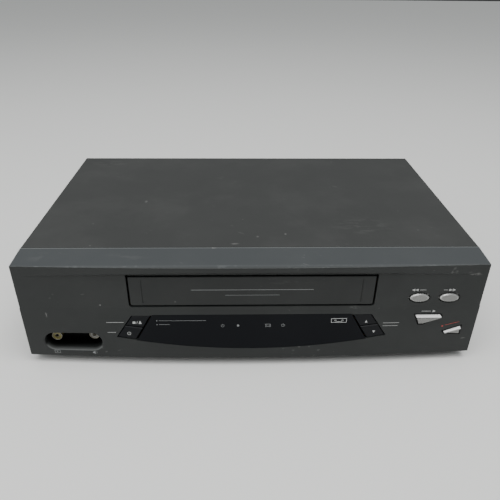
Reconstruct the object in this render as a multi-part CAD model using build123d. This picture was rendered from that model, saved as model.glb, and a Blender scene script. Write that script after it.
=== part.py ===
from build123d import *
import math
import os

os.makedirs("parts", exist_ok=True)

# Compact front-loading video cassette recorder, in millimetres.
# X runs to the right seen from the front, Y from the front to the back, Z up from the surface it stands on.
# All is worked out with y = 0 on the flat front face, and moved to the middle of the footprint at the end.

# ---- case
width = 360.0
height = 94.0
foot_height = 8.0
body_depth = 227.0
bezel_depth = 24.0
bezel_wall = 2.5
bezel_top_wall = 2.0
top_fall = 1.8          # the bezel's top strip slopes down to the front by this much
visor_bow = 3.7         # how far the visor bulges forward in the middle
visor_inset = 8.0       # from the bezel's side to the visor's end
visor_high = 8.6        # the visor's height on the flat face
visor_slope = 1.17      # rise of the visor's underside for each millimetre forward
flare_bow = 6.3         # forward bulge of the bottom edge in the middle
sheet = 0.8
chassis_sheet = 1.0
cover_side_low = 10.0
cover_bend = 1.2
edge_round = 0.8
seam = 0.5              # open line between the bezel and the cover
tongue_reach = 4.0      # the bezel's tongue under the cover's front edge
tongue_thick = 1.8
seat_gap = 0.3          # clearance of a moving piece beside a still one
panel_gap = 0.2         # clearance of a fitting in its hole
bearing_gap = 0.04      # radial clearance of a shaft in its bearing

# ---- cassette door and slot
slot_half = 95.7
slot_drop = 39.5        # from the top of the case to the slot's lower edge
slot_corner = 2.6
door_gap = 1.25
door_top_drop = 12.2    # from the top of the case to the door's upper edge
door_thick = 2.5
door_back_set = 0.4
door_corner = 1.8
door_edge = 0.4
groove_x = 84.5         # fine upright lines moulded in the door
groove_wide = 0.8
groove_margin = 2.7
door_pivot_y = 5.0
door_pivot_drop = 6.0   # from the top of the case to the door's pivot
door_pin_r = 1.5
door_pin_length = 3.6
door_arm_thick = 3.0
door_arm_low = 10.0     # how far below the pivot the door's arms start
door_arm_back = 1.35
door_eye_front = 2.1    # the arm's outline around the pivot
door_eye_top = 1.6
ear_low = 8.0
ear_high = 3.0
ear_back = 4.0
door_spring_length = 4.0
door_spring_r = 2.1
spring_wire = 0.6
spring_leg = 10.0

# ---- display window and the pairs of buttons beside it
flare_margin = 0.5      # from the slot's lower edge down to where the front starts to lean out
panel_drop = 6.6        # from there down to the window's upper edge
window_low_mid = 16.8
window_low_end = 24.1
window_pair_top = 1.0   # rib between the window and a pair of buttons, at its top and its bottom
window_pair_low = 0.8
window_thick = 1.2
window_recess = 0.4
window_fit = 0.15
window_ledge = 3.0
pair_margin = 72.1      # from the side of the case to the outer lower corner of a pair of buttons
pair_lean = 13.0        # how far a pair leans in over its height
pair_top_wide = 15.5
pair_low_wide = 15.3
pair_top_drop = 0.7
pair_low_rise = 2.8     # how much higher the outer lower corner is than the inner one
pair_split_rise = 2.2
pair_split_gap = 0.7
pair_recess = 0.3
cap_bevel = 0.55
button_gap = 0.6
button_flange = 1.2
flange_thick = 1.5
button_travel = 1.0
press_gap = 0.1         # free play before a button meets its switch
stem_wide = 4.0

# ---- transport buttons on the right, placed from the right side of the case
oval_margin = [49.7, 26.3]
oval_z = 62.1
oval_half_wide = 8.6
oval_half_high = 4.9
oval_gap = 1.1
oval_proud = 1.0
oval_bevel = 0.7
play_shape = [(-51.0, 46.3), (-30.2, 46.3), (-28.8, 44.6), (-43.2, 37.0), (-47.0, 37.1)]
play_proud = 3.4
play_ledge = 1.9        # from the upper edge down to the front of the ledge
play_centre = (-41.5, 42.2)
record_shape = [(-25.8, 29.6), (-11.2, 34.9), (-11.4, 26.6), (-24.2, 27.8)]
record_proud = 2.6
record_ledge = 1.9
record_centre = (-16.6, 30.0)
wedge_gap = 0.6
ledge_rise = 1.2        # the ledge rises this much towards its back
wedge_low_proud = 0.9
wedge_stem_high = 3.0

# ---- front jacks
jack_slot_margin = 36.8
jack_slot_z = 21.8
jack_slot_half = 22.9
jack_slot_r = 8.2
jack_slot_round = 1.2
jack_slot_back = 14.0
jack_slot_wall = 1.5
jack_spread = 15.2
front_jack_z = [22.2, 23.2]
jack_front_y = 6.0
jack_ring_r = 4.15
jack_hole_r = 1.9
jack_body_half = 5.4

# ---- front board and what it carries
board_front_y = 17.0
board_thick = 1.6
board_side_gap = 8.0
front_board_low = 10.8
front_board_drop = 4.0  # from the lean of the front down to the board's upper edge
front_board_tab_x = 104.0
front_board_tab_rise = 10.0
boss_r = 3.0
boss_places = [(15.0, 44.0), (68.0, 46.0)]
boss_low_z = 18.0
tact_size = 6.0
tact_body = 3.4
tact_stem_r = 1.7
tact_stem = 1.2
lamp_x = [-23.4, -11.2, 12.6, 24.6]
lamp_z = 31.1
lamp_r = 1.5
lamp_gap = 0.2
lamp_foot = 0.4

# ---- rear panel and its fittings, placed from the sides of the case
panel_set_in = 2.4      # from the cover's back edge in to the rear panel
panel_thick = 1.2
aerial_margin = [20.0, 40.0]
aerial_z = 32.0
aerial_r = 4.7
aerial_length = 12.0
aerial_nut = 1.8
aerial_nut_thick = 2.0
thread_turns = 6
thread_pitch = 1.3
thread_deep = 0.3
aerial_hole_r = 1.2
jack_margin = [68.0, 82.0]
jack_rows = [26.0, 42.0]
rear_jack_r = 4.15
rear_jack_length = 8.5
rear_jack_neck_r = 3.7
rear_jack_hole_r = 1.7
rear_ring_r = 6.0
rear_ring_proud = 1.2
jack_neck_gap = 0.3     # the barrel's neck shows this much in front of its ring
rear_jack_inside = 9.0
switch_margin = 54.0
switch_z = 20.0
switch_travel = 3.0
knob_half_wide = 2.0
knob_half_high = 1.4
knob_proud = 1.6
knob_foot = 1.2
gland_margin = 30.0
gland_z = 26.0
gland_r = 6.0
gland_collar = 1.6
gland_length = 5.0
gland_inside = 6.0
gland_bore_r = 3.4
rear_vents = 12
rear_vent_margin = 22.0
rear_vent_low = 52.0
rear_vent_drop = 14.0
vent_pitch = 6.0
vent_wide = 3.0

# ---- cover vents, screws and chassis
side_vents = 9
side_vent_back = 74.6
side_vent_pitch = 7.0
side_vent_z = [40.0, 66.0]
case_screw_front = 60.0
case_screw_back = 24.6
case_screw_z = 22.0
case_screw_r = 1.5
case_screw_length = 7.0
case_screw_head = 1.6
case_screw_head_r = 3.4
screw_recess_r = 1.0
screw_recess = 1.0
screw_fit = 0.05
side_flange_top = 34.0
front_flange_top = 20.0
floor_vents = 10
floor_vent_margin = 62.0
floor_vent_pitch = 5.0
floor_vent_wide = 2.5
floor_vent_back = [84.6, 39.6]
board_z = 12.0
board_post_margin = 15.0
board_post_front = 45.0
board_post_back = 74.6
board_post_r = 3.0
foot_r = 10.0
foot_taper = 1.2
foot_margin = 30.0
foot_front = 36.0
foot_back = 19.6

# ---- parts on the main board
can_back_gap = 8.0      # between the tuner can and the rear panel
can_margin = [8.0, 52.0]
can_reach = 59.6
can_top = 52.0
can_lid = 1.0
main_board_gap = 6.0
main_board_front_y = 30.0
main_board_back_gap = 10.0
post_clear = 0.6
board_cut_margin = 18.0         # from the inner jacks to the end of the board's cut-out
transformer_margin = 40.0
transformer_back = 47.6
transformer_core = [18.0, 17.0, 48.0]       # half width, half depth and top
transformer_coil = [13.0, 22.0, 43.0]
transformer_foot = [16.0, 19.0]
transformer_base = 3.0
# distance in from the right side (or the left side where it is negative), from the back, radius and length
capacitor_places = [(40, 92.6, 11, 32), (62, 106.6, 5, 14), (50, 116.6, 5, 14), (20, 112.6, 6, 18),
                    (30, 154.6, 4, 12), (15, 89.6, 4, 12), (-60, 84.6, 4, 12), (-40, 134.6, 4, 12),
                    (-25, 114.6, 5, 14), (-55, 154.6, 4, 12)]
sink_margin = 14.0
sink_thick = 2.0
sink_back = [64.6, 19.6]
sink_top = 60.0
sink_fins = 6
sink_fin_pitch = 8.0
sink_fin_long = 5.5
sink_fin_thick = 1.5
sink_leg = 6.0

# ---- tape deck
deck_half = 104.0
deck_front_y = 34.0
deck_back = 10.1
deck_z = 31.0
deck_thick = 1.2
post_x = 97.0
post_front = 40.0
post_back = 13.6
post_r = 4.0
deck_screw_r = 1.5
deck_screw_long = 12.0
deck_screw_head_r = 3.0
deck_screw_head = 2.0
collar_r = 3.4          # collar at the foot of a post on the deck
reel_spread = 46.0
reel_back = 139.6
reel_r = 21.8
reel_disc = 3.0
reel_boss_r = 13.0
reel_boss = 4.5
reel_hub_r = 10.0
reel_top = 50.0
reel_shaft_r = 2.0
reel_lift = 1.0
reel_fin = 2.2
reel_fin_thick = 1.6
drum_x = 0.0
drum_back = 47.6
drum_r = 31.0
drum_tilt = 5.97
drum_base_z = 33.0
drum_floor = 5.0
lower_drum_high = 15.0
drum_split = 0.6
upper_drum_high = 17.0
drum_shaft_r = 2.5
drum_bracket_in = 23.5
drum_heads = 4
head_window_deep = 3.0
head_window_half = 2.5
drum_rim = 8.0
drum_hollow = 3.0
motor_disc_r = 20.0
motor_disc_low = 1.6
motor_disc_high = 3.0
capstan_x = 74.0
capstan_back = 74.6
capstan_r = 2.0
capstan_top = 60.0
capstan_hole_r = 5.0
capstan_sleeve_r = 4.8
capstan_flange_r = 10.0
flywheel_r = 27.0
flywheel_low = 17.6
flywheel_high = 25.0
motor_plate_gap = 1.2
motor_plate_thick = 1.4
pulley_low = 14.8
capstan_pulley_r = 8.0
clutch_pulley_r = 12.0
clutch_boss_r = 6.0
clutch_hole_r = 4.0
belt_thick = 1.2
belt_high = 1.4
belt_clear = 0.3
pulley_rim = 0.8
idler_hub_shaft_r = 2.0
idler_shaft_top = 5.4
idler_reach = 24.0
idler_r = 18.0
idler_thick = 2.2
idler_arm_wide = 9.0
idler_arm_thick = 1.0
idler_axle_r = 1.5
arm_lift = 0.6          # gap between the deck and an arm or gear shaft above it
cam_x = -74.0
cam_back = 30.6
cam_teeth = 40
pinion_teeth = 10
gear_module = 1.0
gear_z = 34.0
gear_thick = 4.0
cam_rim_r = [14.5, 16.0]
cam_hub_r = 6.0
cam_groove = 2.0        # height of the cam's floor
cam_rim_high = 1.2
cam_post_r = 2.0
pinion_shaft_r = 1.0
motor_low = 40.5
motor_r = 12.0
motor_high = 26.0
motor_plate = 1.0
guide_start_x = 24.0
guide_start_back = 91.6
guide_end_x = 47.0
guide_end_back = 52.6
guide_r = 2.5
guide_top = 61.0
guide_neck = 4.4
guide_base_r = 5.0
guide_base = 3.0
guide_foot_r = 4.2
guide_foot = 1.5
guide_collar = 1.2
guide_collar_high = 1.4
pinch_pivot_x = 86.0
pinch_pivot_back = 58.6
pinch_arm_length = 20.3
pinch_arm_wide = 6.5
pinch_arm_thick = 2.0
pinch_pressed_angle = 207.9
pinch_swing = 55.0
pinch_lift = 2.4
pinch_r = 6.5
pinch_axle_r = 1.5
pinch_top = 59.5
pinch_hub_r = 4.0
pivot_post_r = 2.0
pivot_post_top = 39.0
tension_pivot_x = -80.0
tension_pivot_back = 72.6
tension_arm_length = 21.6
tension_arm_wide = 6.0
tension_arm_thick = 1.2
tension_taut_angle = -8.7
tension_swing = 25.0
tension_lift = 0.8
tension_hub_r = 3.6
tension_pin_r = 2.0
tension_top = 59.0
tension_post_top = 36.2
erase_head_place = (-62.0, 59.6, 5.0, 3.5)      # x, distance from the rear panel, half width and half depth
audio_head_place = (54.0, 67.1, 4.0, 3.5)
head_z = [41.0, 58.0]
head_foot = 1.5
head_stem_r = 2.2
shield_x = [36.0, 86.0]
shield_back = [27.6, 10.6]
shield_top = 50.0
shield_slots = 6
shield_slot_pitch = 7.0
shield_slot_wide = 3.0
shield_slot_in = 5.0
shield_slot_end = 3.0
shield_slot_deep = 0.6

# ---- cassette basket
cassette_half = 93.7
cassette_high = 25.0
cassette_lift = 2.5     # the cassette's underside lies this much above the slot's lower edge
cassette_loaded = 38.0  # height of the cassette's underside when it is down
basket_front_y = 38.0
basket_back_y = 84.0
basket_clear = 1.5
basket_top_clear = 0.6
basket_sheet = 1.0
basket_ledge = 25.0
basket_window = [40.0, 10.0, 8.0]       # half width, and distance from the front and the back
basket_stop_wide = 17.0
basket_stop_high = 6.0
basket_pin_y = [56.0, 74.0]
basket_pin_rise = 19.0
basket_pin_r = 1.5
basket_pin_long = 2.0
load_hub = 25.0         # how far the travel ends short of the reels' centres
carriage_gap = 1.2
carriage_margin = 6.0
carriage_foot = 3.2     # plate below the basket's slots
carriage_pin_y = [48.0, 84.0]
carriage_pin_rise = 13.0
carriage_pin_r = 2.0
carriage_tie = 20.0
bracket_gap = 2.6
bracket_sheet = 1.2
bracket_front = 2.0
bracket_back = 5.7      # plate behind the carriage's slot
bracket_drop = 8.0      # from the top of the case to the brackets' upper edge
bracket_window = [14.0, 12.0, 8.0, 10.0]        # margins at the front, back and foot, and below the slot

# ---- sizes that follow from those above
half = width / 2
top_front_z = height - top_fall
panel_y = body_depth - panel_set_in
panel_back_y = panel_y + panel_thick
rear_reach = panel_back_y + aerial_length
to_origin = Pos(0, (flare_bow - rear_reach) / 2, 0)
deck_top = deck_z + deck_thick
chassis_top = foot_height + chassis_sheet
board_top = board_z + board_thick
inner_x = half - sheet - seat_gap
beyond = body_depth * 2         # longer than anything that is cut

visor_half = half - visor_inset
visor_low = top_front_z - visor_high
slot_low = height - slot_drop
slot_high = visor_low + 0.6
door_pivot_z = height - door_pivot_drop
door_low = slot_low + door_gap
door_high = height - door_top_drop
flare_top = slot_low - flare_margin
panel_high = flare_top - panel_drop

window_back = window_recess + window_thick

pair_low_out = half - pair_margin
pair_low_in = pair_low_out - pair_low_wide
pair_top_out = pair_low_out - pair_lean
pair_top_in = pair_top_out - pair_top_wide
pair_top = panel_high - pair_top_drop
pair_low_in_z = window_low_end + 0.3
pair_low_out_z = pair_low_in_z + pair_low_rise
window_half_top = pair_top_in - window_pair_top
window_half_low = pair_low_in - window_pair_low
pair_in_middle = ((pair_top_in + pair_low_in) / 2, (pair_top + pair_low_in_z) / 2)
pair_out_middle_x = (pair_top_out + pair_low_out) / 2

oval_x = [half - margin for margin in oval_margin]
play_points = [(half + x, z) for x, z in play_shape]
record_points = [(half + x, z) for x, z in record_shape]
flange_y = bezel_wall + seat_gap
jack_slot_x = jack_slot_margin - half
jack_x = [jack_slot_x - jack_spread, jack_slot_x + jack_spread]

aerial_x = [margin - half for margin in aerial_margin]
jack_columns = [margin - half for margin in jack_margin]
switch_x = switch_margin - half
gland_x = half - gland_margin
foot_x = half - foot_margin
board_post_x = half - board_post_margin
transformer_x = half - transformer_margin

can_front_y = panel_y - can_reach
transformer_y = panel_y - transformer_back
side_vent_y = panel_y - side_vent_back
deck_back_y = panel_y - deck_back
reel_y = panel_y - reel_back
drum_y = panel_y - drum_back
capstan_y = panel_y - capstan_back
cam_y = panel_y - cam_back
guide_start_y = panel_y - guide_start_back
guide_end_y = panel_y - guide_end_back
pinch_pivot_y = panel_y - pinch_pivot_back
tension_pivot_y = panel_y - tension_pivot_back
floor_vent_y = [panel_y - reach for reach in floor_vent_back]
sink_y = [panel_y - reach for reach in sink_back]
shield_y = [panel_y - reach for reach in shield_back]
case_screw_y = [case_screw_front, panel_y - case_screw_back]
foot_y = [foot_front, panel_y - foot_back]
board_post_y = [board_post_front, panel_y - board_post_back]
post_y = [post_front, panel_y - post_back]
load_travel = reel_y - load_hub

cassette_low = slot_low + cassette_lift
drop_travel = cassette_low - cassette_loaded
basket_pin_z = cassette_low + basket_pin_rise
carriage_low = cassette_loaded + basket_pin_rise - basket_pin_r - seat_gap - carriage_foot
carriage_pin_z = cassette_low + carriage_pin_rise
pinch_rest_angle = pinch_pressed_angle - pinch_swing
tension_rest_angle = tension_taut_angle - tension_swing


def save(name, *solids):
    pieces = [to_origin * solid for solid in solids]
    export_step(pieces[0] if len(pieces) == 1 else Compound(children=pieces), f"parts/{name}.step")


def block(x0, x1, y0, y1, z0, z1):
    return Pos((x0 + x1) / 2, (y0 + y1) / 2, (z0 + z1) / 2) * Box(abs(x1 - x0), abs(y1 - y0), abs(z1 - z0))


def post(x, y, z0, z1, radius):
    return Pos(x, y, (z0 + z1) / 2) * Cylinder(radius, z1 - z0)


def rod_along_y(x, z, y0, y1, radius):
    return Pos(x, (y0 + y1) / 2, z) * Rot(90, 0, 0) * Cylinder(radius, y1 - y0)


def rod_along_x(y, z, x0, x1, radius):
    return Pos((x0 + x1) / 2, y, z) * Rot(0, 90, 0) * Cylinder(radius, abs(x1 - x0))


def outline(points):
    return make_face(Polyline(*points, close=True))


def at_depth(face, y):
    # a face drawn in x and z, stood upright facing the front
    return Plane(origin=(0, y, 0), x_dir=(1, 0, 0), z_dir=(0, -1, 0)) * face


def prism_along_y(face, y0, y1):
    return extrude(at_depth(face, y1), amount=y1 - y0)


def prism_along_x(face, x0, x1):
    # the face is drawn in y and z
    plane = Plane(origin=(x0, 0, 0), x_dir=(0, 1, 0), z_dir=(1, 0, 0))
    return extrude(plane * face, amount=x1 - x0)


def prism_up(face, z0, z1):
    return extrude(Pos(0, 0, z0) * face, amount=z1 - z0)


def through_front(face):
    return prism_along_y(face, -bezel_depth, bezel_depth)


def grown(face, amount):
    return offset(face, amount=amount, kind=Kind.INTERSECTION)


def point_at(x, y, radius, degrees):
    return x + radius * math.cos(math.radians(degrees)), y + radius * math.sin(math.radians(degrees))


def bar_between(start, end, wide, z0, z1):
    # a flat bar with round ends, from one point of the deck to another
    face = SlotCenterToCenter(math.dist(start, end), wide)
    turn = math.degrees(math.atan2(end[1] - start[1], end[0] - start[0]))
    middle = Pos((start[0] + end[0]) / 2, (start[1] + end[1]) / 2, 0)
    return prism_up(middle * Rot(0, 0, turn) * face, z0, z1)


def corner_places(x, rows):
    return [(side * x, y) for side in (-1, 1) for y in rows]


# ---- the form of the front: a flat face, a bowed visor above it and a flared skirt below it
def bowed_face(bow, reach, y_back):
    arc = ThreePointArc((-reach, 0), (0, -bow), (reach, 0))
    sides = Polyline((reach, 0), (reach, y_back), (-reach, y_back), (-reach, 0))
    return make_face(Curve() + [arc, sides])


def front_form(set_back):
    flat = block(-half, half, 0, bezel_depth, flare_top, height)
    low_edge = Pos(0, 0, foot_height) * bowed_face(flare_bow, half, bezel_depth)
    # the loft's upper edge keeps a hint of the bow, because it has to be an arc as well
    high_edge = Pos(0, 0, flare_top) * bowed_face(flare_bow / 1000, half, bezel_depth)
    skirt = loft([low_edge.face(), high_edge.face()], ruled=True)
    form = Pos(0, set_back, 0) * (flat + skirt)
    return form & block(-width, width, -width, bezel_depth, 0, height)


def front_slab(near, far):
    # what lies between two depths behind the front form
    return front_form(near) - front_form(far)


def visor():
    fascia = prism_up(bowed_face(visor_bow, visor_half, bezel_wall), visor_low, top_front_z)
    reach = visor_bow * 2
    below = outline([(0, visor_low), (-reach, visor_low + reach * visor_slope), (-reach, 0), (0, 0)])
    return fascia - prism_along_x(below, -width, width)


def top_slope():
    # what is cut off above the bezel's sloping top strip
    high = height * 2
    fall = top_fall / bezel_depth
    reach = visor_bow * 2
    points = [(-reach, top_front_z - fall * reach), (bezel_depth, height)]
    points += [(bezel_depth, high), (-reach, high)]
    return prism_along_x(outline(points), -width, width)


# ---- outlines on the front
def window_outline():
    low_corner = (window_half_low, window_low_end)
    arc = ThreePointArc((-window_half_low, window_low_end), (0, window_low_mid), low_corner)
    rest = Polyline(
        low_corner,
        (window_half_top, panel_high),
        (-window_half_top, panel_high),
        (-window_half_low, window_low_end),
    )
    return make_face(Curve() + [arc, rest])


def pair_outline(side, top_in, low_in):
    points = [(top_in, pair_top), (pair_top_out, pair_top)]
    points += [(pair_low_out, pair_low_out_z), (low_in, pair_low_in_z)]
    return outline([(side * x, z) for x, z in points])


def pair_opening(side):
    # a pair's opening runs up to the window's edge, so that a dark gap parts the two
    return pair_outline(side, window_half_top, window_half_low - window_pair_low)


def pair_split(side):
    run = pair_out_middle_x - pair_in_middle[0]
    turn = math.degrees(math.atan2(pair_split_rise, run))
    middle = Pos(side * (pair_in_middle[0] + run / 2), pair_in_middle[1] + pair_split_rise / 2)
    return through_front(middle * Rot(0, 0, side * turn) * Rectangle(run * 2, pair_split_gap))


def oval_outline(x, shrink):
    return Pos(x, oval_z) * Ellipse(oval_half_wide - shrink, oval_half_high - shrink)


def jack_slot_outline():
    return Pos(jack_slot_x, jack_slot_z) * SlotOverall(jack_slot_half * 2, jack_slot_r * 2)


def is_jack_slot_rim(edge):
    middle = edge.center()
    beside = abs(middle.X - jack_slot_x) < jack_slot_half + seam
    return beside and abs(middle.Z - jack_slot_z) < jack_slot_r + seam and middle.Y < -seam


# ---- front bezel
def bezel_shell():
    body = front_form(0) + visor()
    body = body - top_slope()
    near = 0.1
    front_edges = body.edges().filter_by(Axis.Z).filter_by_position(Axis.Y, -near, near)
    body = fillet(front_edges.filter_by(lambda edge: abs(edge.center().X) > half - near), edge_round)
    brow = body.edges().filter_by_position(Axis.Z, top_front_z - edge_round, top_front_z + near)
    body = fillet(brow.filter_by_position(Axis.Y, -visor_bow - near, near), edge_round)
    wall_x = half - bezel_wall
    hollow_top = top_front_z - bezel_top_wall
    hollow = block(-wall_x, wall_x, -width, bezel_depth, foot_height + bezel_wall, hollow_top)
    hollow = front_form(bezel_wall) & hollow
    tongue_top = height - sheet - panel_gap
    tongue_y = (bezel_depth - 1, bezel_depth + tongue_reach)
    tongue = block(-wall_x, wall_x, *tongue_y, tongue_top - tongue_thick, tongue_top)
    return body - hollow + tongue


def door_slot():
    slot = block(-slot_half, slot_half, -visor_bow, bezel_wall, slot_low, slot_high)
    low_corners = slot.edges().filter_by(Axis.Y).filter_by_position(Axis.Z, slot_low - seam, slot_low + seam)
    return fillet(low_corners, slot_corner)


def make_bezel():
    body = bezel_shell() - door_slot()
    # ears that carry the door's pins
    for side in (-1, 1):
        ear_x = (side * slot_half, side * (slot_half + door_arm_thick))
        ear_z = (door_pivot_z - ear_low, door_pivot_z + ear_high)
        ear = block(*ear_x, bezel_wall, door_pivot_y + ear_back, *ear_z)
        bore_x = (side * (slot_half - 1), side * (slot_half + door_arm_thick + door_pin_length))
        bore = rod_along_x(door_pivot_y, door_pivot_z, *bore_x, door_pin_r + bearing_gap)
        body = body + ear - bore
    # recess and hole for the window, and one opening for each button or pair of buttons
    pocket = through_front(grown(window_outline(), window_fit))
    body = body - (pocket & front_slab(-1, window_back))
    body = body - through_front(grown(window_outline(), -window_ledge))
    openings = [grown(pair_opening(side), panel_gap / 2) for side in (-1, 1)]
    openings += [oval_outline(x, 0) for x in oval_x]
    openings += [outline(play_points), outline(record_points)]
    for opening in openings:
        body = body - through_front(opening)
    # tub around the front jacks
    tub = grown(jack_slot_outline(), jack_slot_wall)
    tub = prism_along_y(tub, -bezel_depth, jack_slot_back + jack_slot_wall)
    body = body + (tub & front_form(bezel_wall / 2))
    body = body - prism_along_y(jack_slot_outline(), -bezel_depth, jack_slot_back)
    body = fillet(body.edges().filter_by(is_jack_slot_rim), jack_slot_round)
    for x, z in zip(jack_x, front_jack_z):
        body = body - rod_along_y(x, z, 0, bezel_depth, jack_ring_r + panel_gap)
    bosses = [(margin - half, z) for margin, z in boss_places]
    bosses += [(half - boss_places[1][0], boss_places[1][1]), (half - boss_places[0][0], boss_low_z)]
    for x, z in bosses:
        body = body + (rod_along_y(x, z, -flare_bow, board_front_y, boss_r) & front_form(bezel_wall / 2))
    return body


save("front_bezel", make_bezel())


# ---- cassette door: panel and two arms with pins in the bezel's ears
def door_panel():
    edge = slot_half - door_gap
    panel = block(-edge, edge, door_back_set, door_back_set + door_thick, door_low, door_high)
    corners = panel.edges().filter_by(Axis.Y).filter_by_position(Axis.Z, door_low - seam, door_low + seam)
    panel = fillet(corners, door_corner)
    panel = chamfer(panel.faces().sort_by(Axis.Y)[0].edges(), door_edge)
    for side in (-1, 1):
        groove = (side * groove_x - groove_wide / 2, side * groove_x + groove_wide / 2)
        groove_z = (door_low + groove_margin, door_high - groove_margin)
        panel = panel - block(*groove, 0, door_back_set + groove_wide / 2, *groove_z)
    return panel


def make_door():
    edge = slot_half - door_gap
    back = door_back_set + door_thick
    pin_r = door_pin_r
    arm_points = [(back, door_pivot_z - door_arm_low), (back, door_high)]
    arm_points += [(door_pivot_y - door_eye_front, door_pivot_z), (door_pivot_y, door_pivot_z + door_eye_top)]
    arm_points += [(door_pivot_y + pin_r, door_pivot_z)]
    arm_points += [(door_pivot_y + door_arm_back, door_pivot_z - ear_low)]
    door = door_panel()
    for side in (-1, 1):
        inner = edge - door_arm_thick
        arm = prism_along_x(outline(arm_points), *sorted((side * inner, side * edge)))
        # the left pin is longer, because it carries the spring
        reach = slot_half + door_pin_length + (door_spring_length if side < 0 else 0)
        door = door + arm + rod_along_x(door_pivot_y, door_pivot_z, side * inner, side * reach, pin_r)
    return door


save("cassette_door", make_door())


def make_door_spring():
    # torsion spring around the left end of the door's pin, beside the ear, with a leg under the top wall
    x_in = -(slot_half + door_arm_thick + panel_gap / 2)
    x_out = x_in - door_spring_length
    coil = rod_along_x(door_pivot_y, door_pivot_z, x_out, x_in, door_spring_r)
    leg_top = door_pivot_z + door_spring_r - spring_wire
    leg_y = (door_pivot_y, door_pivot_y + spring_leg)
    leg = block(x_out, x_out + spring_wire, *leg_y, leg_top - spring_wire, leg_top)
    return coil + leg - rod_along_x(door_pivot_y, door_pivot_z, x_out - 1, x_in + 1, door_pin_r + panel_gap)


save("door_spring", make_door_spring())

# ---- display window
save("display_window", through_front(window_outline()) & front_slab(window_recess, window_back))


# ---- buttons: a cap in its opening, a flange behind the wall and a stem that reaches to a switch
def middle_of(points):
    return sum(x for x, z in points) / len(points), sum(z for x, z in points) / len(points)


split_ends = [pair_in_middle, (pair_out_middle_x, pair_in_middle[1] + pair_split_rise)]
upper_middle = middle_of([(pair_top_in, pair_top), (pair_top_out, pair_top)] + split_ends)
lower_middle = middle_of([(pair_low_in, pair_low_in_z), (pair_low_out, pair_low_out_z)] + split_ends)
button_centres = {
    "stop_eject_button": (-upper_middle[0], upper_middle[1]),
    "power_button": (-lower_middle[0], lower_middle[1]),
    "channel_up_button": upper_middle,
    "channel_down_button": lower_middle,
    "rewind_button": (oval_x[0], oval_z),
    "fast_forward_button": (oval_x[1], oval_z),
    "play_button": (half + play_centre[0], play_centre[1]),
    "record_button": (half + record_centre[0], record_centre[1]),
}
switch_top_y = board_front_y - tact_body - tact_stem
stem_end_y = switch_top_y - button_travel - press_gap


def stem(name, high):
    x, z = button_centres[name]
    bar = block(x - stem_wide / 2, x + stem_wide / 2, -flare_bow, stem_end_y, z - high / 2, z + high / 2)
    return bar & front_form(flange_y)


def flange(face):
    return through_front(face) & front_slab(flange_y, flange_y + flange_thick)


def upper_and_lower(solids):
    largest = sorted(solids, key=lambda solid: -solid.volume)[:2]
    return sorted(largest, key=lambda solid: -solid.center().Z)


def bevelled(cap, bevel):
    front = min(cap.faces(), key=lambda face: face.center().Y)
    return cap.chamfer(bevel, None, front.edges())


def make_pair_buttons(side, *names):
    face = pair_outline(side, pair_top_in, pair_low_in)
    caps = through_front(grown(face, -button_gap / 2)) & front_slab(pair_recess, flange_y + flange_thick)
    keep_off = through_front(grown(window_outline(), button_travel))
    flanges = flange(grown(face, button_flange)) - keep_off
    split = pair_split(side)
    pairs = zip(names, upper_and_lower((caps - split).solids()), upper_and_lower((flanges - split).solids()))
    for name, cap, back in pairs:
        save(name, bevelled(cap, cap_bevel) + back + stem(name, stem_wide))


make_pair_buttons(-1, "stop_eject_button", "power_button")
make_pair_buttons(1, "channel_up_button", "channel_down_button")

def make_oval_button(name, x):
    bevel_y = oval_bevel - oval_proud
    cap = prism_along_y(oval_outline(x, oval_gap), bevel_y, flange_y + flange_thick)
    rims = [at_depth(oval_outline(x, oval_gap), bevel_y)]
    rims += [at_depth(oval_outline(x, oval_gap + oval_bevel), -oval_proud)]
    cap = cap + loft([rim.face() for rim in rims], ruled=True)
    save(name, cap + flange(oval_outline(x, -button_flange)) + stem(name, stem_wide))


for name, x in zip(("rewind_button", "fast_forward_button"), oval_x):
    make_oval_button(name, x)


def make_wedge_button(name, points, proud, ledge):
    # a ledge along the upper edge, and below it a face that falls back to the bottom
    cap = prism_along_y(grown(outline(points), -wedge_gap), -proud - 1, flange_y + flange_thick)
    left = min(points)
    right = max(points, key=lambda point: point[0] + point[1])
    turn = math.degrees(math.atan2(right[1] - left[1], right[0] - left[0]))
    fall = left[1] - ledge - min(z for x, z in points)
    far = proud + wedge_gap * 10
    profile = [(wedge_gap / 2, ledge_rise), (-proud, 0), (-wedge_low_proud, -fall), (-wedge_low_proud, -far)]
    profile += [(-far, -far), (-far, far), (wedge_gap / 2, far)]
    tool = prism_along_x(outline(profile), -half, half)
    cap = cap - Pos(left[0], 0, left[1] - ledge) * Rot(0, -turn, 0) * tool
    back = flange(grown(outline(points), button_flange))
    save(name, cap + back + stem(name, wedge_stem_high))


make_wedge_button("play_button", play_points, play_proud, play_ledge)
make_wedge_button("record_button", record_points, record_proud, record_ledge)


# ---- top cover: one folded sheet with vents at the sides
def make_cover():
    outer = block(-half, half, bezel_depth + seam, body_depth, cover_side_low, height)
    long_edges = outer.edges().filter_by(Axis.Y).filter_by_position(Axis.Z, height - seam, height + seam)
    cover = fillet(long_edges, cover_bend) - block(sheet - half, half - sheet, 0, beyond, 0, height - sheet)
    for row in range(side_vents):
        vent_y = side_vent_y + row * side_vent_pitch
        cover = cover - block(-width, width, vent_y, vent_y + vent_wide, *side_vent_z)
    for screw_y in case_screw_y:
        cover = cover - rod_along_x(screw_y, case_screw_z, -width, width, case_screw_r + panel_gap)
    return cover


save("top_cover", make_cover())


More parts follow.
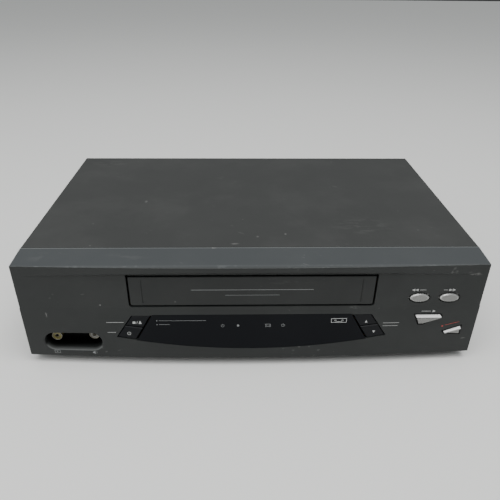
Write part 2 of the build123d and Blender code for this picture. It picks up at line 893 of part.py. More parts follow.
# ---- bottom chassis: pan with side and front flanges, four deck posts and four board posts
def make_chassis():
    pan = block(-inner_x, inner_x, bezel_depth, panel_y, foot_height, chassis_top)
    for side in (-1, 1):
        wall_x = (side * (inner_x - chassis_sheet), side * inner_x)
        pan = pan + block(*wall_x, bezel_depth, panel_y, foot_height, side_flange_top)
    flange_y_range = (bezel_depth, bezel_depth + chassis_sheet)
    pan = pan + block(-inner_x, inner_x, *flange_y_range, foot_height, front_flange_top)
    for x, y in corner_places(post_x, post_y):
        pan = pan + post(x, y, foot_height, deck_z, post_r)
        pan = pan - post(x, y, deck_z - deck_screw_long, deck_z, deck_screw_r)
    for x, y in corner_places(board_post_x, board_post_y):
        pan = pan + post(x, y, foot_height, board_z, board_post_r)
    for screw_y in case_screw_y:
        pan = pan - rod_along_x(screw_y, case_screw_z, -width, width, case_screw_r)
    for row in range(floor_vents):
        vent_x = half - floor_vent_margin + row * floor_vent_pitch
        pan = pan - block(vent_x, vent_x + floor_vent_wide, *floor_vent_y, 0, chassis_top + 1)
    return pan


save("bottom_chassis", make_chassis())


def make_case_screw(side, y):
    shank_x = (side * (half - case_screw_length), side * half)
    shank = rod_along_x(y, case_screw_z, *shank_x, case_screw_r - screw_fit)
    head_x = half + case_screw_head
    head = rod_along_x(y, case_screw_z, side * half, side * head_x, case_screw_head_r)
    recess = rod_along_x(y, case_screw_z, side * (head_x - screw_recess), side * (head_x + 1), screw_recess_r)
    return shank + head - recess


save("case_screws", *[make_case_screw(side, y) for side in (-1, 1) for y in case_screw_y])
foot_form = Cone(foot_r - foot_taper, foot_r, foot_height)
save("rubber_feet", *[Pos(x, y, foot_height / 2) * foot_form for x, y in corner_places(foot_x, foot_y)])


# ---- rear panel with holes for its fittings
def make_rear_panel():
    panel = block(-inner_x, inner_x, panel_y, panel_back_y, foot_height, height - sheet - seat_gap)
    holes = [(x, aerial_z, aerial_r + panel_gap) for x in aerial_x]
    holes += [(x, z, rear_ring_r + panel_gap) for x in jack_columns for z in jack_rows]
    holes += [(gland_x, gland_z, gland_r + panel_gap / 2)]
    for x, z, radius in holes:
        panel = panel - rod_along_y(x, z, 0, beyond, radius)
    slot_half_wide = switch_travel / 2 + knob_half_wide
    slot_z = (switch_z - knob_half_high - seat_gap, switch_z + knob_half_high + seat_gap)
    panel = panel - block(switch_x - slot_half_wide, switch_x + slot_half_wide, 0, beyond, *slot_z)
    for row in range(rear_vents):
        right = half - rear_vent_margin - row * vent_pitch + vent_wide
        panel = panel - block(right - vent_wide, right, 0, beyond, rear_vent_low, height - rear_vent_drop)
    return panel


save("rear_panel", make_rear_panel())


# ---- aerial connectors: threaded barrels on the tuner can
def make_aerial_connector(x):
    barrel = rod_along_y(x, aerial_z, panel_y - can_back_gap, panel_back_y + aerial_length, aerial_r)
    nut_y = panel_back_y + panel_gap
    barrel = barrel + rod_along_y(x, aerial_z, nut_y, nut_y + aerial_nut_thick, aerial_r + aerial_nut)
    for turn in range(thread_turns):
        y = panel_back_y + 2 * aerial_nut_thick + turn * thread_pitch
        root = rod_along_y(x, aerial_z, y, y + thread_pitch / 2, aerial_r - thread_deep)
        barrel = barrel - (rod_along_y(x, aerial_z, y, y + thread_pitch / 2, aerial_r * 2) - root)
    return barrel - rod_along_y(x, aerial_z, panel_back_y + 1, beyond, aerial_hole_r)


save("aerial_connectors", *[make_aerial_connector(x) for x in aerial_x])
can_x = [margin - half for margin in can_margin]
can = block(*can_x, can_front_y, panel_y - can_back_gap, board_top, can_top)
lid_x = (can_x[0] + can_lid, can_x[1] - can_lid)
can = can + block(*lid_x, can_front_y - can_lid, can_front_y, board_top + 3 * can_lid, can_top - 3 * can_lid)
save("tuner_can", can)


# ---- rear jacks: bright barrels in coloured rings
def make_rear_barrel(x, z):
    neck_y = panel_back_y + rear_ring_proud + jack_neck_gap
    barrel = rod_along_y(x, z, neck_y, panel_back_y + rear_jack_length, rear_jack_r)
    barrel = barrel + rod_along_y(x, z, panel_y - rear_jack_inside, neck_y, rear_jack_neck_r)
    return barrel - rod_along_y(x, z, panel_y, beyond, rear_jack_hole_r)


def make_rear_ring(x, z):
    ring = rod_along_y(x, z, panel_y - rear_jack_inside, panel_back_y + rear_ring_proud, rear_ring_r)
    return ring - rod_along_y(x, z, 0, beyond, rear_jack_neck_r)


ring_rows = {"video_jack_rings": jack_rows[1], "audio_jack_rings": jack_rows[0]}
save("rear_jack_barrels", *[make_rear_barrel(x, z) for x in jack_columns for z in ring_rows.values()])
for name, z in ring_rows.items():
    save(name, *[make_rear_ring(x, z) for x in jack_columns])

# ---- channel selector and cord gland
knob_x = switch_x - switch_travel / 2
knob_y = panel_y - switch_travel
knob_z = (switch_z - knob_half_high, switch_z + knob_half_high)
knob = block(knob_x - knob_half_wide, knob_x + knob_half_wide, knob_y, panel_back_y + knob_proud, *knob_z)
knob_foot_x = (switch_x - switch_travel - knob_half_wide, switch_x + knob_half_wide)
knob_foot_z = (knob_z[0] - knob_foot, knob_z[1] + knob_foot)
knob = knob + block(*knob_foot_x, knob_y, panel_y - seat_gap, *knob_foot_z)
save("channel_switch_knob", knob)
gland = rod_along_y(gland_x, gland_z, panel_y - gland_inside, panel_back_y, gland_r)
gland_end_y = panel_back_y + gland_length
gland = gland + rod_along_y(gland_x, gland_z, panel_back_y, gland_end_y, gland_r + gland_collar)
save("cord_gland", gland - rod_along_y(gland_x, gland_z, 0, beyond, gland_bore_r))

# ---- front board, upright behind the bezel, with its switches, lamps and jacks
front_board_x = half - board_side_gap
board_y = (board_front_y, board_front_y + board_thick)
front_board_high = flare_top - front_board_drop
front_board = block(-front_board_x, front_board_x, *board_y, front_board_low, front_board_high)
tab_z = (front_board_high - 1, oval_z + front_board_tab_rise)
save("front_board", front_board + block(front_board_tab_x, front_board_x, *board_y, *tab_z))


def make_tact_switch(x, z):
    side = tact_size / 2
    body = block(x - side, x + side, board_front_y - tact_body, board_front_y, z - side, z + side)
    return body + rod_along_y(x, z, switch_top_y, board_front_y - 1, tact_stem_r)


def make_lamp(x):
    lamp = rod_along_y(x, lamp_z, window_back + lamp_gap, board_front_y, lamp_r)
    return lamp + rod_along_y(x, lamp_z, board_front_y - 1, board_front_y, lamp_r + lamp_foot)


def make_front_jack(x, z):
    ring = rod_along_y(x, z, jack_front_y, board_front_y, jack_ring_r)
    side = jack_body_half
    housing_y = jack_slot_back + jack_slot_wall + panel_gap / 2
    housing = block(x - side, x + side, housing_y, board_front_y, z - side, z + side)
    return ring + housing - rod_along_y(x, z, 0, board_front_y - 2, jack_hole_r)


save("tact_switches", *[make_tact_switch(x, z) for x, z in button_centres.values()])
save("indicator_lamps", *[make_lamp(x) for x in lamp_x])
for name, x, z in zip(("front_video_jack", "front_audio_jack"), jack_x, front_jack_z):
    save(name, make_front_jack(x, z))

# ---- main board and the parts on it
main_board_x = half - main_board_gap
main_board_back_y = panel_y - main_board_back_gap
main_board = block(-main_board_x, main_board_x, main_board_front_y, main_board_back_y, board_z, board_top)
for x, y in corner_places(post_x, post_y):
    main_board = main_board - post(x, y, 0, height, post_r + post_clear)
# the jacks and the knob at the back reach in over the board's cut-out corner
cut_x = (can_x[0], jack_columns[1] + board_cut_margin)
main_board = main_board - block(*cut_x, main_board_back_y - 2, panel_y, 0, height)
save("main_board", main_board)


def transformer_block(half_wide, half_deep, low, high):
    x, y = transformer_x, transformer_y
    return block(x - half_wide, x + half_wide, y - half_deep, y + half_deep, low, high)


core_low = board_top + transformer_base
transformer = transformer_block(*transformer_core[:2], core_low, transformer_core[2])
transformer = transformer + transformer_block(*transformer_coil[:2], core_low + 5, transformer_coil[2])
save("power_transformer", transformer + transformer_block(*transformer_foot, board_top, core_low))
capacitors = []
for margin, back, radius, tall in capacitor_places:
    capacitor_x = math.copysign(half, margin) - margin
    capacitors.append(post(capacitor_x, panel_y - back, board_top, board_top + tall, radius))
save("capacitors", *capacitors)
sink_x = half - sink_margin
sink = block(sink_x - sink_thick, sink_x, *sink_y, board_top, sink_top)
for row in range(sink_fins):
    fin_y = sink_y[0] + sink_thick + row * sink_fin_pitch
    fin_x = (sink_x - sink_thick - sink_fin_long, sink_x - sink_thick)
    sink = sink + block(*fin_x, fin_y, fin_y + sink_fin_thick, board_top + sink_leg, sink_top)
save("heatsink", sink)

# ---- deck plate


def on_deck(place, top, radius, collar_top, collar=collar_r):
    # a post riveted in the deck, with a wider collar at its foot
    return post(*place, deck_z, top, radius) + post(*place, deck_z, collar_top, collar)


def make_deck():
    deck = block(-deck_half, deck_half, deck_front_y, deck_back_y, deck_z, deck_top)
    for side in (-1, 1):
        start = (side * guide_start_x, guide_start_y)
        end = (side * guide_end_x, guide_end_y)
        deck = deck - bar_between(start, end, guide_neck + 2 * seat_gap, 0, height)
    deck = deck - post(drum_x, drum_y, 0, height, drum_bracket_in)
    deck = deck - post(capstan_x, capstan_y, 0, height, capstan_hole_r)
    deck = deck - post(0, reel_y, 0, height, clutch_hole_r)
    for x, y in corner_places(post_x, post_y):
        deck = deck - post(x, y, 0, height, deck_screw_r + panel_gap)
    cam_post_top = gear_z + gear_thick + cam_rim_high + panel_gap
    deck = deck + on_deck((cam_x, cam_y), cam_post_top, cam_post_r, gear_z - 0.1)
    reel_collar_top = deck_top + reel_lift - panel_gap
    for x in (-reel_spread, reel_spread):
        shaft_top = reel_top - reel_disc - reel_lift
        deck = deck + on_deck((x, reel_y), shaft_top, reel_shaft_r, reel_collar_top, 2 * reel_shaft_r)
    pinch_collar = deck_top + pinch_lift - 0.1
    tension_collar = deck_top + tension_lift - 0.1
    deck = deck + on_deck((pinch_pivot_x, pinch_pivot_y), pivot_post_top, pivot_post_r, pinch_collar)
    return deck + on_deck((tension_pivot_x, tension_pivot_y), tension_post_top, pivot_post_r, tension_collar)


def make_deck_screw(x, y):
    shank = post(x, y, deck_z - deck_screw_long + 4, deck_top, deck_screw_r - screw_fit)
    return shank + post(x, y, deck_top, deck_top + deck_screw_head, deck_screw_head_r)


save("deck_plate", make_deck())
screws = [make_deck_screw(x, y) for x, y in corner_places(post_x, post_y)]
board_head = (board_top, board_top + deck_screw_head, deck_screw_head_r)
screws += [post(x, y, *board_head) for x, y in corner_places(board_post_x, board_post_y)]
save("deck_screws", *screws)


# ---- reels
def make_reel(x):
    low = deck_top + reel_lift
    reel = post(x, reel_y, low, low + reel_disc, reel_r)
    reel = reel + post(x, reel_y, low, low + reel_boss, reel_boss_r)
    reel = reel + post(x, reel_y, low, reel_top, reel_hub_r)
    blade_x = (reel_hub_r - 1, reel_hub_r + reel_fin)
    blade = block(*blade_x, -reel_fin_thick / 2, reel_fin_thick / 2, low + 1, reel_top - 4)
    for fin in range(3):
        reel = reel + Pos(x, reel_y, 0) * Rot(0, 0, 30 + fin * 120) * blade
    return reel - post(x, reel_y, 0, height, reel_shaft_r + bearing_gap)


save("supply_reel", make_reel(-reel_spread))
save("takeup_reel", make_reel(reel_spread))

# ---- clutch pulley under the deck, with its shaft through the idler arm
groove_low = pulley_low + pulley_rim
groove_high = groove_low + belt_high + 2 * belt_clear


def make_pulley(x, y, radius):
    pulley = post(x, y, pulley_low, groove_high + pulley_rim, radius + pulley_rim)
    groove = post(x, y, groove_low, groove_high, radius * 2)
    return pulley - (groove - post(x, y, groove_low, groove_high, radius))


clutch = make_pulley(0, reel_y, clutch_pulley_r)
clutch = clutch + post(0, reel_y, pulley_low, deck_z - 4, clutch_boss_r)
save("clutch_pulley", clutch + post(0, reel_y, pulley_low, deck_top + idler_shaft_top, idler_hub_shaft_r))

# ---- idler arm swings about the clutch shaft, and carries the idler wheel
idler_low = deck_top + arm_lift
idler_axle = (0, reel_y + idler_reach)
idler_arm = bar_between((0, reel_y), idler_axle, idler_arm_wide, idler_low, idler_low + idler_arm_thick)
idler_arm = idler_arm + post(0, reel_y, idler_low, deck_top + idler_shaft_top - 1.2, idler_arm_wide / 2 - 0.1)
idler_arm = idler_arm - post(0, reel_y, 0, height, idler_hub_shaft_r + bearing_gap)
wheel_low = idler_low + idler_arm_thick + seat_gap
wheel_top = wheel_low + idler_thick
save("idler_arm", idler_arm + post(*idler_axle, idler_low, wheel_top + 1, idler_axle_r))
wheel = post(*idler_axle, wheel_low, wheel_top, idler_r)
save("idler_wheel", wheel - post(*idler_axle, 0, height, idler_axle_r + bearing_gap))


# ---- capstan: motor plate and sleeve on the deck, flywheel and shaft, belt to the clutch pulley
def at_capstan(low, high, radius):
    return post(capstan_x, capstan_y, low, high, radius)


plate_low = flywheel_high + motor_plate_gap
sleeve = at_capstan(plate_low, deck_top + 2, capstan_sleeve_r)
sleeve = sleeve + at_capstan(deck_top, deck_top + motor_plate_thick, capstan_flange_r)
sleeve = sleeve + at_capstan(plate_low, plate_low + motor_plate_thick, flywheel_r - 1)
save("capstan_motor", sleeve - at_capstan(0, height, capstan_r + bearing_gap))
flywheel = at_capstan(flywheel_low, flywheel_high, flywheel_r)
flywheel = flywheel + make_pulley(capstan_x, capstan_y, capstan_pulley_r)
save("capstan_flywheel", flywheel + at_capstan(pulley_low, capstan_top, capstan_r))


def belt_loop(spare):
    clutch_end = Pos(0, reel_y) * Circle(clutch_pulley_r + spare)
    capstan_end = Pos(capstan_x, capstan_y) * Circle(capstan_pulley_r + spare)
    return make_hull(clutch_end.edges() + capstan_end.edges())


belt_low = groove_low + belt_clear
belt = prism_up(belt_loop(belt_clear + belt_thick), belt_low, belt_low + belt_high)
save("drive_belt", belt - prism_up(belt_loop(belt_clear), 0, height))

# ---- rotary drum, leaning to the left: still lower half on a ring, turning upper half with the motor's disc
drum_frame = Pos(drum_x, drum_y, drum_base_z) * Rot(0, -drum_tilt, 0)
lower_top = drum_floor + lower_drum_high
upper_low = lower_top + drum_split
upper_top = upper_low + upper_drum_high


def make_lower_drum():
    ring = post(drum_x, drum_y, deck_top, drum_base_z + lower_top, drum_r - 1)
    ring = ring - post(drum_x, drum_y, 0, height, drum_bracket_in)
    ring = ring - drum_frame * post(0, 0, drum_floor + 0.5, beyond, drum_r * 2)
    drum = drum_frame * post(0, 0, drum_floor, lower_top, drum_r) + ring
    return drum - drum_frame * post(0, 0, 0, height, drum_shaft_r + bearing_gap)


def make_upper_drum():
    drum = post(0, 0, upper_low, upper_top, drum_r)
    window_x = (drum_r - head_window_deep, drum_r + 1)
    window = block(*window_x, -head_window_half, head_window_half, 0, upper_low + head_window_deep)
    for head in range(drum_heads):
        drum = drum - Rot(0, 0, 45 + head * 360 / drum_heads) * window
    drum = drum - post(0, 0, upper_top - drum_hollow, beyond, drum_r - drum_rim)
    return drum_frame * (drum + post(0, 0, motor_disc_low, upper_top - 1, drum_shaft_r))


save("lower_drum", make_lower_drum())
save("upper_drum", make_upper_drum())
motor_disc = post(0, 0, motor_disc_low, motor_disc_low + motor_disc_high, motor_disc_r)
save("drum_motor_disc", drum_frame * (motor_disc - post(0, 0, 0, height, drum_shaft_r)))


# ---- loading gears: straight teeth, thinner than the spaces between them
def gear_outline(teeth, turn):
    pitch_r = gear_module * teeth / 2
    # each tooth's corners: a share of half its pitch along the pitch circle, and how far out
    corners = [(-0.50, -1.1), (-0.24, 0.7), (0.24, 0.7), (0.50, -1.1)]
    points = []
    for tooth in range(teeth):
        for share, step in corners:
            angle = turn + (tooth + share / 2) * 360 / teeth
            points.append(point_at(0, 0, pitch_r + step * gear_module, angle))
    return outline(points)


def make_cam_gear():
    cam = Pos(cam_x, cam_y, 0) * prism_up(gear_outline(cam_teeth, 0), gear_z, gear_z + gear_thick)
    cam = cam + post(cam_x, cam_y, gear_z, gear_z + gear_thick + cam_rim_high, cam_rim_r[1])
    groove = post(cam_x, cam_y, gear_z + cam_groove, height, cam_rim_r[0])
    groove = groove - post(cam_x, cam_y, 0, height, cam_hub_r)
    return cam - groove - post(cam_x, cam_y, 0, height, cam_post_r + bearing_gap)


pinion_x = cam_x + gear_module * (cam_teeth + pinion_teeth) / 2
pinion_face = gear_outline(pinion_teeth, 180 / pinion_teeth)
pinion = Pos(pinion_x, cam_y, 0) * prism_up(pinion_face, gear_z, gear_z + gear_thick)
save("cam_gear", make_cam_gear())
save("loading_pinion", pinion + post(pinion_x, cam_y, deck_top + arm_lift, motor_low + 3, pinion_shaft_r))


def make_loading_motor():
    # a can on a plate, which stands on the deck with two legs clear of the gears
    plate_top = motor_low + motor_plate
    motor = post(pinion_x, cam_y, plate_top, plate_top + motor_high, motor_r)
    left, right, front, back = pinion_x - 9, pinion_x + 13, cam_y - 12, cam_y + 16
    motor = motor + block(left, right, front, back, motor_low, plate_top)
    motor = motor + block(pinion_x - 5, pinion_x + 6, back - motor_plate, back, deck_top, plate_top)
    motor = motor + block(right - motor_plate, right, cam_y - 6, cam_y + 8, deck_top, plate_top)
    return motor - post(pinion_x, cam_y, 0, motor_low + 3.5, pinion_shaft_r + bearing_gap)


save("loading_motor", make_loading_motor())


# ---- tape guides that slide in the deck's slots
def make_guide(side):
    place = (side * guide_start_x, guide_start_y)
    foot_top = deck_z - seat_gap
    base_top = deck_top + seat_gap + guide_base
    collar_low = deck_top + 5
    guide = post(*place, deck_top + seat_gap, base_top, guide_base_r)
    guide = guide + post(*place, foot_top - 0.1, base_top, guide_neck / 2)
    guide = guide + post(*place, foot_top - guide_foot, foot_top, guide_foot_r)
    guide = guide + post(*place, base_top, guide_top, guide_r)
    guide = guide + post(*place, collar_low, collar_low + guide_collar_high, guide_r + guide_collar)
    return guide + post(*place, guide_top - guide_collar_high, guide_top, guide_r + guide_collar)


save("supply_guide", make_guide(-1))
save("takeup_guide", make_guide(1))

# ---- pinch arm and roller
pinch_pivot = (pinch_pivot_x, pinch_pivot_y)
pinch_end = point_at(*pinch_pivot, pinch_arm_length, pinch_rest_angle)
pinch_low = deck_top + pinch_lift
pinch_arm = bar_between(pinch_pivot, pinch_end, pinch_arm_wide, pinch_low, pinch_low + pinch_arm_thick)
pinch_arm = pinch_arm + post(*pinch_pivot, pinch_low, pivot_post_top - 0.6, pinch_hub_r)
pinch_arm = pinch_arm - post(*pinch_pivot, 0, height, pivot_post_r + bearing_gap)
save("pinch_arm", pinch_arm + post(*pinch_end, pinch_low, pinch_top, pinch_axle_r))
roller = post(*pinch_end, pinch_low + pinch_arm_thick + seat_gap, pinch_top - 1.5, pinch_r)
save("pinch_roller", roller - post(*pinch_end, 0, height, pinch_axle_r + bearing_gap))

# ---- tension arm
tension_pivot = (tension_pivot_x, tension_pivot_y)
tension_end = point_at(*tension_pivot, tension_arm_length, tension_rest_angle)
tension_low = deck_top + tension_lift
tension_z = (tension_low, tension_low + tension_arm_thick)
tension_arm = bar_between(tension_pivot, tension_end, tension_arm_wide, *tension_z)
tension_arm = tension_arm + post(*tension_pivot, tension_low, tension_post_top - 0.4, tension_hub_r)
tension_arm = tension_arm - post(*tension_pivot, 0, height, pivot_post_r + bearing_gap)
save("tension_arm", tension_arm + post(*tension_end, tension_low, tension_top, tension_pin_r))


# ---- still heads beside the drum, and the amplifier's shield
def make_head(x, back, half_wide, half_deep):
    y = panel_y - back
    head = block(x - half_wide, x + half_wide, y - half_deep, y + half_deep, *head_z)
    foot_x_range = (x - half_wide - 1, x + half_wide + 1)
    head = head + block(*foot_x_range, y - half_deep, y + half_deep, deck_top, deck_top + head_foot)
    return head + post(x, y, deck_top, head_z[0] + 1, head_stem_r)


save("erase_head", make_head(*erase_head_place))
save("audio_control_head", make_head(*audio_head_place))
shield = block(*shield_x, *shield_y, deck_top, shield_top)
for column in range(shield_slots):
    slot_x = shield_x[0] + shield_slot_in + column * shield_slot_pitch
    slot_y = (shield_y[0] + shield_slot_end, shield_y[1] - shield_slot_end)
    slot = block(slot_x, slot_x + shield_slot_wide, *slot_y, shield_top - shield_slot_deep, shield_top + 1)
    shield = shield - slot
save("head_amplifier_shield", shield)

# ---- cassette basket: ledges, side walls and a top, open at the front
basket_in = cassette_half + basket_clear
basket_out = basket_in + basket_sheet
basket_low = cassette_low - basket_sheet
basket_high = cassette_low + cassette_high + basket_top_clear


def make_basket():
    open_half = basket_in - basket_ledge
    top_half, front_margin, back_margin = basket_window
    top_y = (basket_front_y + front_margin, basket_back_y - back_margin)
    basket_z = (basket_low, basket_high + basket_sheet)
    basket = block(-basket_out, basket_out, basket_front_y, basket_back_y, *basket_z)
    basket = basket - block(-basket_in, basket_in, 0, body_depth, cassette_low, basket_high)
    basket = basket - block(-open_half, open_half, 0, body_depth, 0, basket_high)
    basket = basket - block(-top_half, top_half, *top_y, basket_high - 1, height)
    for side in (-1, 1):
        stop_x = sorted((side * (basket_in - basket_stop_wide), side * basket_in))
        stop_y = (basket_back_y - basket_sheet, basket_back_y)
        basket = basket + block(*stop_x, *stop_y, basket_low, cassette_low + basket_stop_high)
        pin_x = (side * basket_in, side * (basket_out + basket_pin_long))
        for y in basket_pin_y:
            basket = basket + rod_along_x(y, basket_pin_z, *pin_x, basket_pin_r)
    return basket


save("cassette_basket", make_basket())

# ---- basket carriage: slotted side plates joined above the basket
carriage_in = basket_out + carriage_gap
carriage_out = carriage_in + basket_sheet
tie_low = basket_high + 2 * basket_sheet
tie_top = tie_low + basket_sheet


def make_carriage():
    front_y = carriage_pin_y[0] - carriage_margin
    back_y = carriage_pin_y[1] + carriage_margin
    carriage = block(-carriage_out, carriage_out, back_y - carriage_tie, back_y, tie_low, tie_top)
    slot_half_wide = basket_pin_r + seat_gap
    slot_z = (basket_pin_z - drop_travel - slot_half_wide, basket_pin_z + slot_half_wide)
    pin_end = carriage_out + bracket_gap + bracket_sheet + panel_gap * 2
    for side in (-1, 1):
        plate_x = sorted((side * carriage_in, side * carriage_out))
        plate = block(*plate_x, front_y, back_y, carriage_low, tie_top)
        for y in basket_pin_y:
            plate = plate - block(*plate_x, y - slot_half_wide, y + slot_half_wide, *slot_z)
        for y in carriage_pin_y:
            plate = plate + rod_along_x(y, carriage_pin_z, side * carriage_in, side * pin_end, carriage_pin_r)
        carriage = carriage + plate
    return carriage


save("basket_carriage", make_carriage())


# ---- brackets at the sides of the deck, with the slots that guide the carriage
def make_bracket(side):
    bracket_in = carriage_out + bracket_gap
    rail = carriage_pin_r + seat_gap
    front_margin, back_margin, low_margin, top_margin = bracket_window
    plate_x = sorted((side * bracket_in, side * (bracket_in + bracket_sheet)))
    slot_y = (carriage_pin_y[0] - rail, carriage_pin_y[1] + load_travel + rail)
    bracket_y = (deck_front_y + bracket_front, slot_y[1] + bracket_back)
    bracket = block(*plate_x, *bracket_y, deck_top, height - bracket_drop)
    bracket = bracket - block(*plate_x, *slot_y, carriage_pin_z - rail, carriage_pin_z + rail)
    opening_y = (deck_front_y + front_margin, bracket_y[1] - back_margin)
    return bracket - block(*plate_x, *opening_y, deck_top + low_margin, carriage_pin_z - top_margin)


save("loader_brackets", make_bracket(-1), make_bracket(1))
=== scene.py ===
import math

import bmesh
import bpy
from mathutils import Matrix, Vector


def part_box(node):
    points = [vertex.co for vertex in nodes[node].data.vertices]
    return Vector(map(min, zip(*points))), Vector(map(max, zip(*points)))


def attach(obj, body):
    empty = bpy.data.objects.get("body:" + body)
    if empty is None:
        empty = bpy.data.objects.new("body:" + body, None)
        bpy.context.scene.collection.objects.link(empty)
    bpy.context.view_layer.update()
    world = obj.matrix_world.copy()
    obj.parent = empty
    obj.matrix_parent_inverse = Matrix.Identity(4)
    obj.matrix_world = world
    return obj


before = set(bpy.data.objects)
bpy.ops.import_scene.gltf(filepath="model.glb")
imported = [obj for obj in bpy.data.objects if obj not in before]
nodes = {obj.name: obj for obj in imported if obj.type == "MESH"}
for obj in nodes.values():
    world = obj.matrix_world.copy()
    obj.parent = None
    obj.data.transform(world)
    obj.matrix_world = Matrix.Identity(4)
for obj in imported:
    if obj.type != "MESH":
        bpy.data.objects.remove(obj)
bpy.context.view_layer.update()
mm = 0.001
print("frame loaded:", len(nodes), "nodes")

frontForm = {
    "bow": 6.3 * mm,          # forward bulge of the bottom edge
    "half": 180 * mm,         # half the face's width
    "flareTop": 54 * mm,      # below this the face leans out
    "low": 8 * mm,            # height of the bottom edge
    "windowBack": 0.4 * mm,   # how far the window lies behind the face
    "capBack": 0.3 * mm,      # the same for the dark caps
    "doorBack": 0.4 * mm,
}
frontForm["y"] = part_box("front_bezel")[0].y + frontForm["bow"]
frontForm["radius"] = (frontForm["half"] ** 2 + frontForm["bow"] ** 2) / (2 * frontForm["bow"])


def faceY(x, z):
    # y of the front surface at this x and height
    if z >= frontForm["flareTop"]:
        return frontForm["y"]
    radius = frontForm["radius"]
    bulge = math.sqrt(radius ** 2 - x ** 2) - (radius - frontForm["bow"])
    return frontForm["y"] - bulge * (frontForm["flareTop"] - z) / (frontForm["flareTop"] - frontForm["low"])


class Builder:
    # adds shader nodes to one tree, and links what it's given
    def __init__(self, tree):
        self.tree = tree

    def put(self, value, socket):
        if isinstance(value, bpy.types.NodeSocket):
            self.tree.links.new(value, socket)
        else:
            socket.default_value = value

    def add(self, kind, inputs=(), **settings):
        node = self.tree.nodes.new(kind)
        for key, value in settings.items():
            setattr(node, key, value)
        for key, value in dict(inputs).items():
            self.put(value, node.inputs[key])
        return node

    def math(self, operation, first, second=0.0, clamp=False):
        node = self.add("ShaderNodeMath", {0: first, 1: second}, operation=operation, use_clamp=clamp)
        return node.outputs[0]

    def times(self, *values):
        result = values[0]
        for value in values[1:]:
            result = self.math("MULTIPLY", result, value)
        return result

    def total(self, *values):
        result = values[0]
        for value in values[1:]:
            result = self.math("ADD", result, value, clamp=True)
        return result

    def vector(self, operation, first, second):
        return self.add("ShaderNodeVectorMath", {0: first, 1: second}, operation=operation).outputs[0]

    def noise(self, where, scale, detail=3.0, rough=0.5):
        inputs = {"Vector": where, "Scale": scale, "Detail": detail, "Roughness": rough}
        return self.add("ShaderNodeTexNoise", inputs).outputs["Fac"]

    def spread(self, value, low, high, bottom=0.0, top=1.0):
        # bottom below low, top above high
        inputs = {"Value": value, "From Min": low, "From Max": high, "To Min": bottom, "To Max": top}
        return self.add("ShaderNodeMapRange", inputs, clamp=True).outputs["Result"]

    def above(self, value, limits):
        return self.spread(value, *limits)

    def below(self, value, limits):
        return self.spread(value, *limits, 1.0, 0.0)

    def mix(self, share, first, second):
        return self.add("ShaderNodeMix", {0: share, 6: first, 7: second}, data_type="RGBA").outputs[2]

    def group(self, name, inputs):
        node = self.add("ShaderNodeGroup", node_tree=groups[name])
        for key, value in inputs.items():
            self.put(value, node.inputs[key])
        return node.outputs


def axes(build, where):
    return build.add("ShaderNodeSeparateXYZ", {0: where}).outputs


camera = {
    "place": (-11.7 * mm, frontForm["y"] - 323.5 * mm, 291.6 * mm),
    "turn": 0.029,            # angles in radians, this one to the right of straight ahead
    "down": 0.522,
    "roll": 0.011,
    "lens": 36.79,
    "sensor": 36,
    "clip": (0.01, 50),
}


def makeCamera():
    turn, down, roll = camera["turn"], camera["down"], camera["roll"]
    ahead = Vector((math.sin(turn) * math.cos(down), math.cos(turn) * math.cos(down), -math.sin(down)))
    level = Vector((math.cos(turn), -math.sin(turn), 0))
    up = level.cross(ahead)
    right = level * math.cos(roll) + up * math.sin(roll)
    up = up * math.cos(roll) - level * math.sin(roll)
    data = bpy.data.cameras.new("camera")
    data.lens = camera["lens"]
    data.sensor_width = camera["sensor"]
    data.clip_start, data.clip_end = camera["clip"]
    eye = bpy.data.objects.new("camera", data)
    place = Matrix((right, up, -ahead)).transposed().to_4x4()
    place.translation = Vector(camera["place"])
    eye.matrix_world = place
    bpy.context.scene.collection.objects.link(eye)
    bpy.context.scene.camera = eye


lights = {
    "worldColor": (0.95, 0.98, 0.99, 1),
    "world": (0.05, 0.56),    # strength at the horizon and high up
    "worldTop": 0.8,          # the upward part of a direction from which the sky is at its brightest
    "overhead": {"place": (-0.15, -0.5, 1.5), "aim": (0, 0, 0.05), "size": 1.4, "power": 18},
    "highlight": {"place": (0.5, -0.4, 1.5), "aim": (0.1, -0.1, 0.05), "size": 0.7, "power": 6},
    "left": {"place": (-1.4, -0.9, 0.8), "aim": (0, 0, 0.05), "size": 1.0, "power": 6},
}


def makeLights():
    world = bpy.data.worlds.new("studio")
    world.use_nodes = True
    build = Builder(world.node_tree)
    background = world.node_tree.nodes["Background"].inputs
    background["Color"].default_value = lights["worldColor"]
    upward = axes(build, build.add("ShaderNodeTexCoord").outputs["Generated"])[2]
    build.put(build.spread(upward, 0.0, lights["worldTop"], *lights["world"]), background["Strength"])
    bpy.context.scene.world = world
    for name in ("overhead", "highlight", "left"):
        facts = lights[name]
        data = bpy.data.lights.new(name, "AREA")
        data.energy = facts["power"]
        data.size = facts["size"]
        lamp = bpy.data.objects.new(name, data)
        lamp.location = facts["place"]
        towards = Vector(facts["aim"]) - Vector(facts["place"])
        lamp.rotation_euler = towards.to_track_quat("-Z", "Y").to_euler()
        bpy.context.scene.collection.objects.link(lamp)


floorFacts = {"size": 4, "color": (0.86, 0.86, 0.84, 1), "rough": 0.9}


def makeFloor():
    mesh = bpy.data.meshes.new("floor")
    shape = bmesh.new()
    bmesh.ops.create_grid(shape, x_segments=1, y_segments=1, size=floorFacts["size"])
    shape.to_mesh(mesh)
    shape.free()
    floor = bpy.data.objects.new("floor", mesh)
    bpy.context.scene.collection.objects.link(floor)
    look = bpy.data.materials.new("paleFloor")
    look.use_nodes = True
    base = look.node_tree.nodes["Principled BSDF"]
    base.inputs["Base Color"].default_value = floorFacts["color"]
    base.inputs["Roughness"].default_value = floorFacts["rough"]
    mesh.materials.append(look)


makeCamera()
makeLights()
makeFloor()
print("camera, lights and floor are in place")


